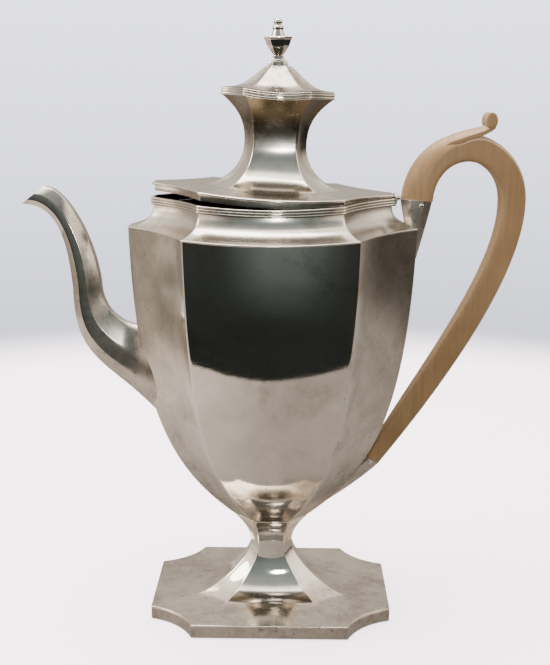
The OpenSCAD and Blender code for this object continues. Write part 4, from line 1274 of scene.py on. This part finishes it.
def studio():
    """The room that lights the pot and that its silver mirrors, and the plain backdrop that is seen."""
    colours = bpy.context.scene.pot_finish
    world = bpy.data.worlds.new("soft_studio")
    world.use_nodes = True
    tree = world.node_tree
    tree.nodes.clear()
    way = add(tree, "TexCoord", out="Generated")
    x, y, z = add(tree, "SeparateXYZ", (way,)).node.outputs
    height = add(tree, "MapRange", (z, -1.0, 1.0))
    rooms = []
    for stops in (SIDE_ROOM, FRONT_ROOM):
        rooms.append(add(tree, "ValToRGB", {"Fac": height}))
        marks = rooms[-1].node.color_ramp.elements
        while len(marks) < len(stops):
            marks.new(0.5)
        for mark, (up, code, light) in zip(marks, stops):
            mark.position = (math.sin(math.radians(up)) + 1) / 2
            mark.color = rgba([v * light for v in linear(code)])

    # in front of the pot the room is dark, and higher up the dark part keeps its width round the pot
    edge = add(tree, "MapRange", (z, -0.20, -0.06, -0.33, -0.72))
    higher = add(tree, "MapRange", (z, 0.2, 0.9, 0.0, 0.5))
    edge = add(tree, "Math", (edge, higher), operation="ADD")
    past = add(tree, "Math", (edge, y), operation="SUBTRACT")
    ahead = add(tree, "MapRange", (past, 0.0, 0.14), interpolation_type="SMOOTHSTEP")
    # the dark part has a faint glow in the middle
    middle = add(tree, "Math", (x, 0.1), operation="SUBTRACT")
    middle = add(tree, "Math", (middle,), operation="ABSOLUTE")
    inner = add(tree, "MapRange", (middle, 0.60, 0.10, 0.0, 0.24), interpolation_type="SMOOTHSTEP")
    rise = add(tree, "MapRange", (z, -0.38, -0.15), interpolation_type="SMOOTHSTEP")
    glow = add(tree, "Math", (inner, rise), operation="MULTIPLY")
    # painted reflection of shade: a dark patch low on the right stands in for the shaded side of the handle,
    # which the silver does not mirror
    right = add(tree, "MapRange", (x, 0.60, 0.80))
    below = add(tree, "MapRange", (z, 0.12, -0.05))
    handle_shade = add(tree, "Math", (right, below), operation="MULTIPLY")
    # the room is dim low behind the pot
    behind = add(tree, "MapRange", (y, 0.05, 0.55, 1.0, 0.42))
    above = add(tree, "MapRange", (z, 0.40, 0.70))
    behind = add(tree, "Math", (behind, above), operation="MAXIMUM")

    front = add(tree, "Mix", {0: glow, 6: rooms[1], 7: rgba(linear(FRONT_GLOW))}, 2, data_type="RGBA")
    tone = add(tree, "Mix", {0: ahead, 6: rooms[0], 7: front}, 2, data_type="RGBA")
    tone = add(tree, "Mix", {0: 1.0, 6: tone, 7: behind}, 2, data_type="RGBA", blend_type="MULTIPLY")
    tone = add(tree, "Mix", {0: handle_shade, 6: tone, 7: rgba(HANDLE_SHADE_COLOUR)}, 2, data_type="RGBA")
    room = add(tree, "Background", {"Color": tone})
    pale = add(tree, "MapRange", (z, -0.2, 0.08, 2.2, 3.9))
    backdrop = add(tree, "Background", {"Color": rgba(colours.wall), "Strength": pale})
    seen = add(tree, "LightPath", out="Is Camera Ray")
    both = add(tree, "MixShader", (seen, room, backdrop))
    add(tree, "OutputWorld", (both,))
    return world


class StageOperator(bpy.types.Operator):
    """Adds the floor, the soft studio light and the camera"""
    bl_idname = "coffee_pot.stage"
    bl_label = "Stage"

    def execute(self, context):
        floor = disc("paper_floor", 1.5, 0.0, -0.0004, matt_paper())
        floor.visible_glossy = floor.visible_diffuse = False
        # the silver mirrors a dimmer glowing sheet instead, a painted table which ends in a curve in front of
        # the pot
        table = disc("mirrored_table", 0.55, 0.29, -0.0002, glowing_table_sheet())
        table.visible_camera = table.visible_diffuse = table.visible_shadow = False
        context.scene.world = studio()

        for name, place, width, power, tint in LAMPS:
            bpy.ops.object.light_add(type="AREA", location=place)
            lamp = context.object
            lamp.name = lamp.data.name = name
            lamp.data.shape = "DISK"
            lamp.data.size = width
            lamp.data.energy = power
            lamp.data.color = tint
            lamp.rotation_euler = (Vector(LAMP_TARGET) - Vector(place)).to_track_quat("-Z", "Y").to_euler()

        bpy.ops.object.camera_add(location=CAMERA_PLACE)
        camera = context.object
        camera.name = camera.data.name = "front_camera"
        turn = Matrix.Identity(3)
        for axis, angle in CAMERA_TURNS:
            turn = turn @ Matrix.Rotation(math.radians(angle), 3, axis)
        camera.rotation_euler = turn.to_euler()
        camera.data.sensor_fit = "VERTICAL"
        camera.data.sensor_height = SENSOR_MM
        camera.data.lens = FOCAL_PIXELS / PICTURE_PIXELS * SENSOR_MM
        camera.data.clip_start = 0.01
        context.scene.camera = camera
        return {"FINISHED"}


OPERATORS = (FootOperator, StemRingOperator, BodyOperator, ShoulderOperator, RimOperator, SpoutOperator,
             HandleOperator, SocketsOperator, HingeOperator, LidOperator, SpoolOperator, CapOperator,
             FinialOperator, StageOperator)


class CoffeePotPanel(bpy.types.Panel):
    """Lists the sizes, colours and pieces of the coffee pot"""
    bl_idname = "VIEW3D_PT_coffee_pot"
    bl_label = "Coffee Pot"
    bl_space_type = "VIEW_3D"
    bl_region_type = "UI"
    bl_category = "Coffee Pot"

    def draw(self, context):
        for group, kind in GROUPS.items():
            box = self.layout.box()
            box.label(text=kind.__doc__)
            for key in kind.__annotations__:
                box.prop(getattr(context.scene, group), key)
        for operator in OPERATORS:
            self.layout.operator(operator.bl_idname)


def register():
    """Registers the classes and adds their sizes and colours to the scene."""
    for kind in (*GROUPS.values(), *OPERATORS, CoffeePotPanel):
        bpy.utils.register_class(kind)
    for group, kind in GROUPS.items():
        setattr(bpy.types.Scene, group, bpy.props.PointerProperty(type=kind))


def unregister():
    """Takes away what register added."""
    for group in GROUPS:
        delattr(bpy.types.Scene, group)
    for kind in reversed((*GROUPS.values(), *OPERATORS, CoffeePotPanel)):
        bpy.utils.unregister_class(kind)


def main():
    """Adds every piece and the stage."""
    register()
    for operator in OPERATORS:
        family, name = operator.bl_idname.split(".")
        getattr(getattr(bpy.ops, family), name)()


if __name__ == "__main__":
    main()
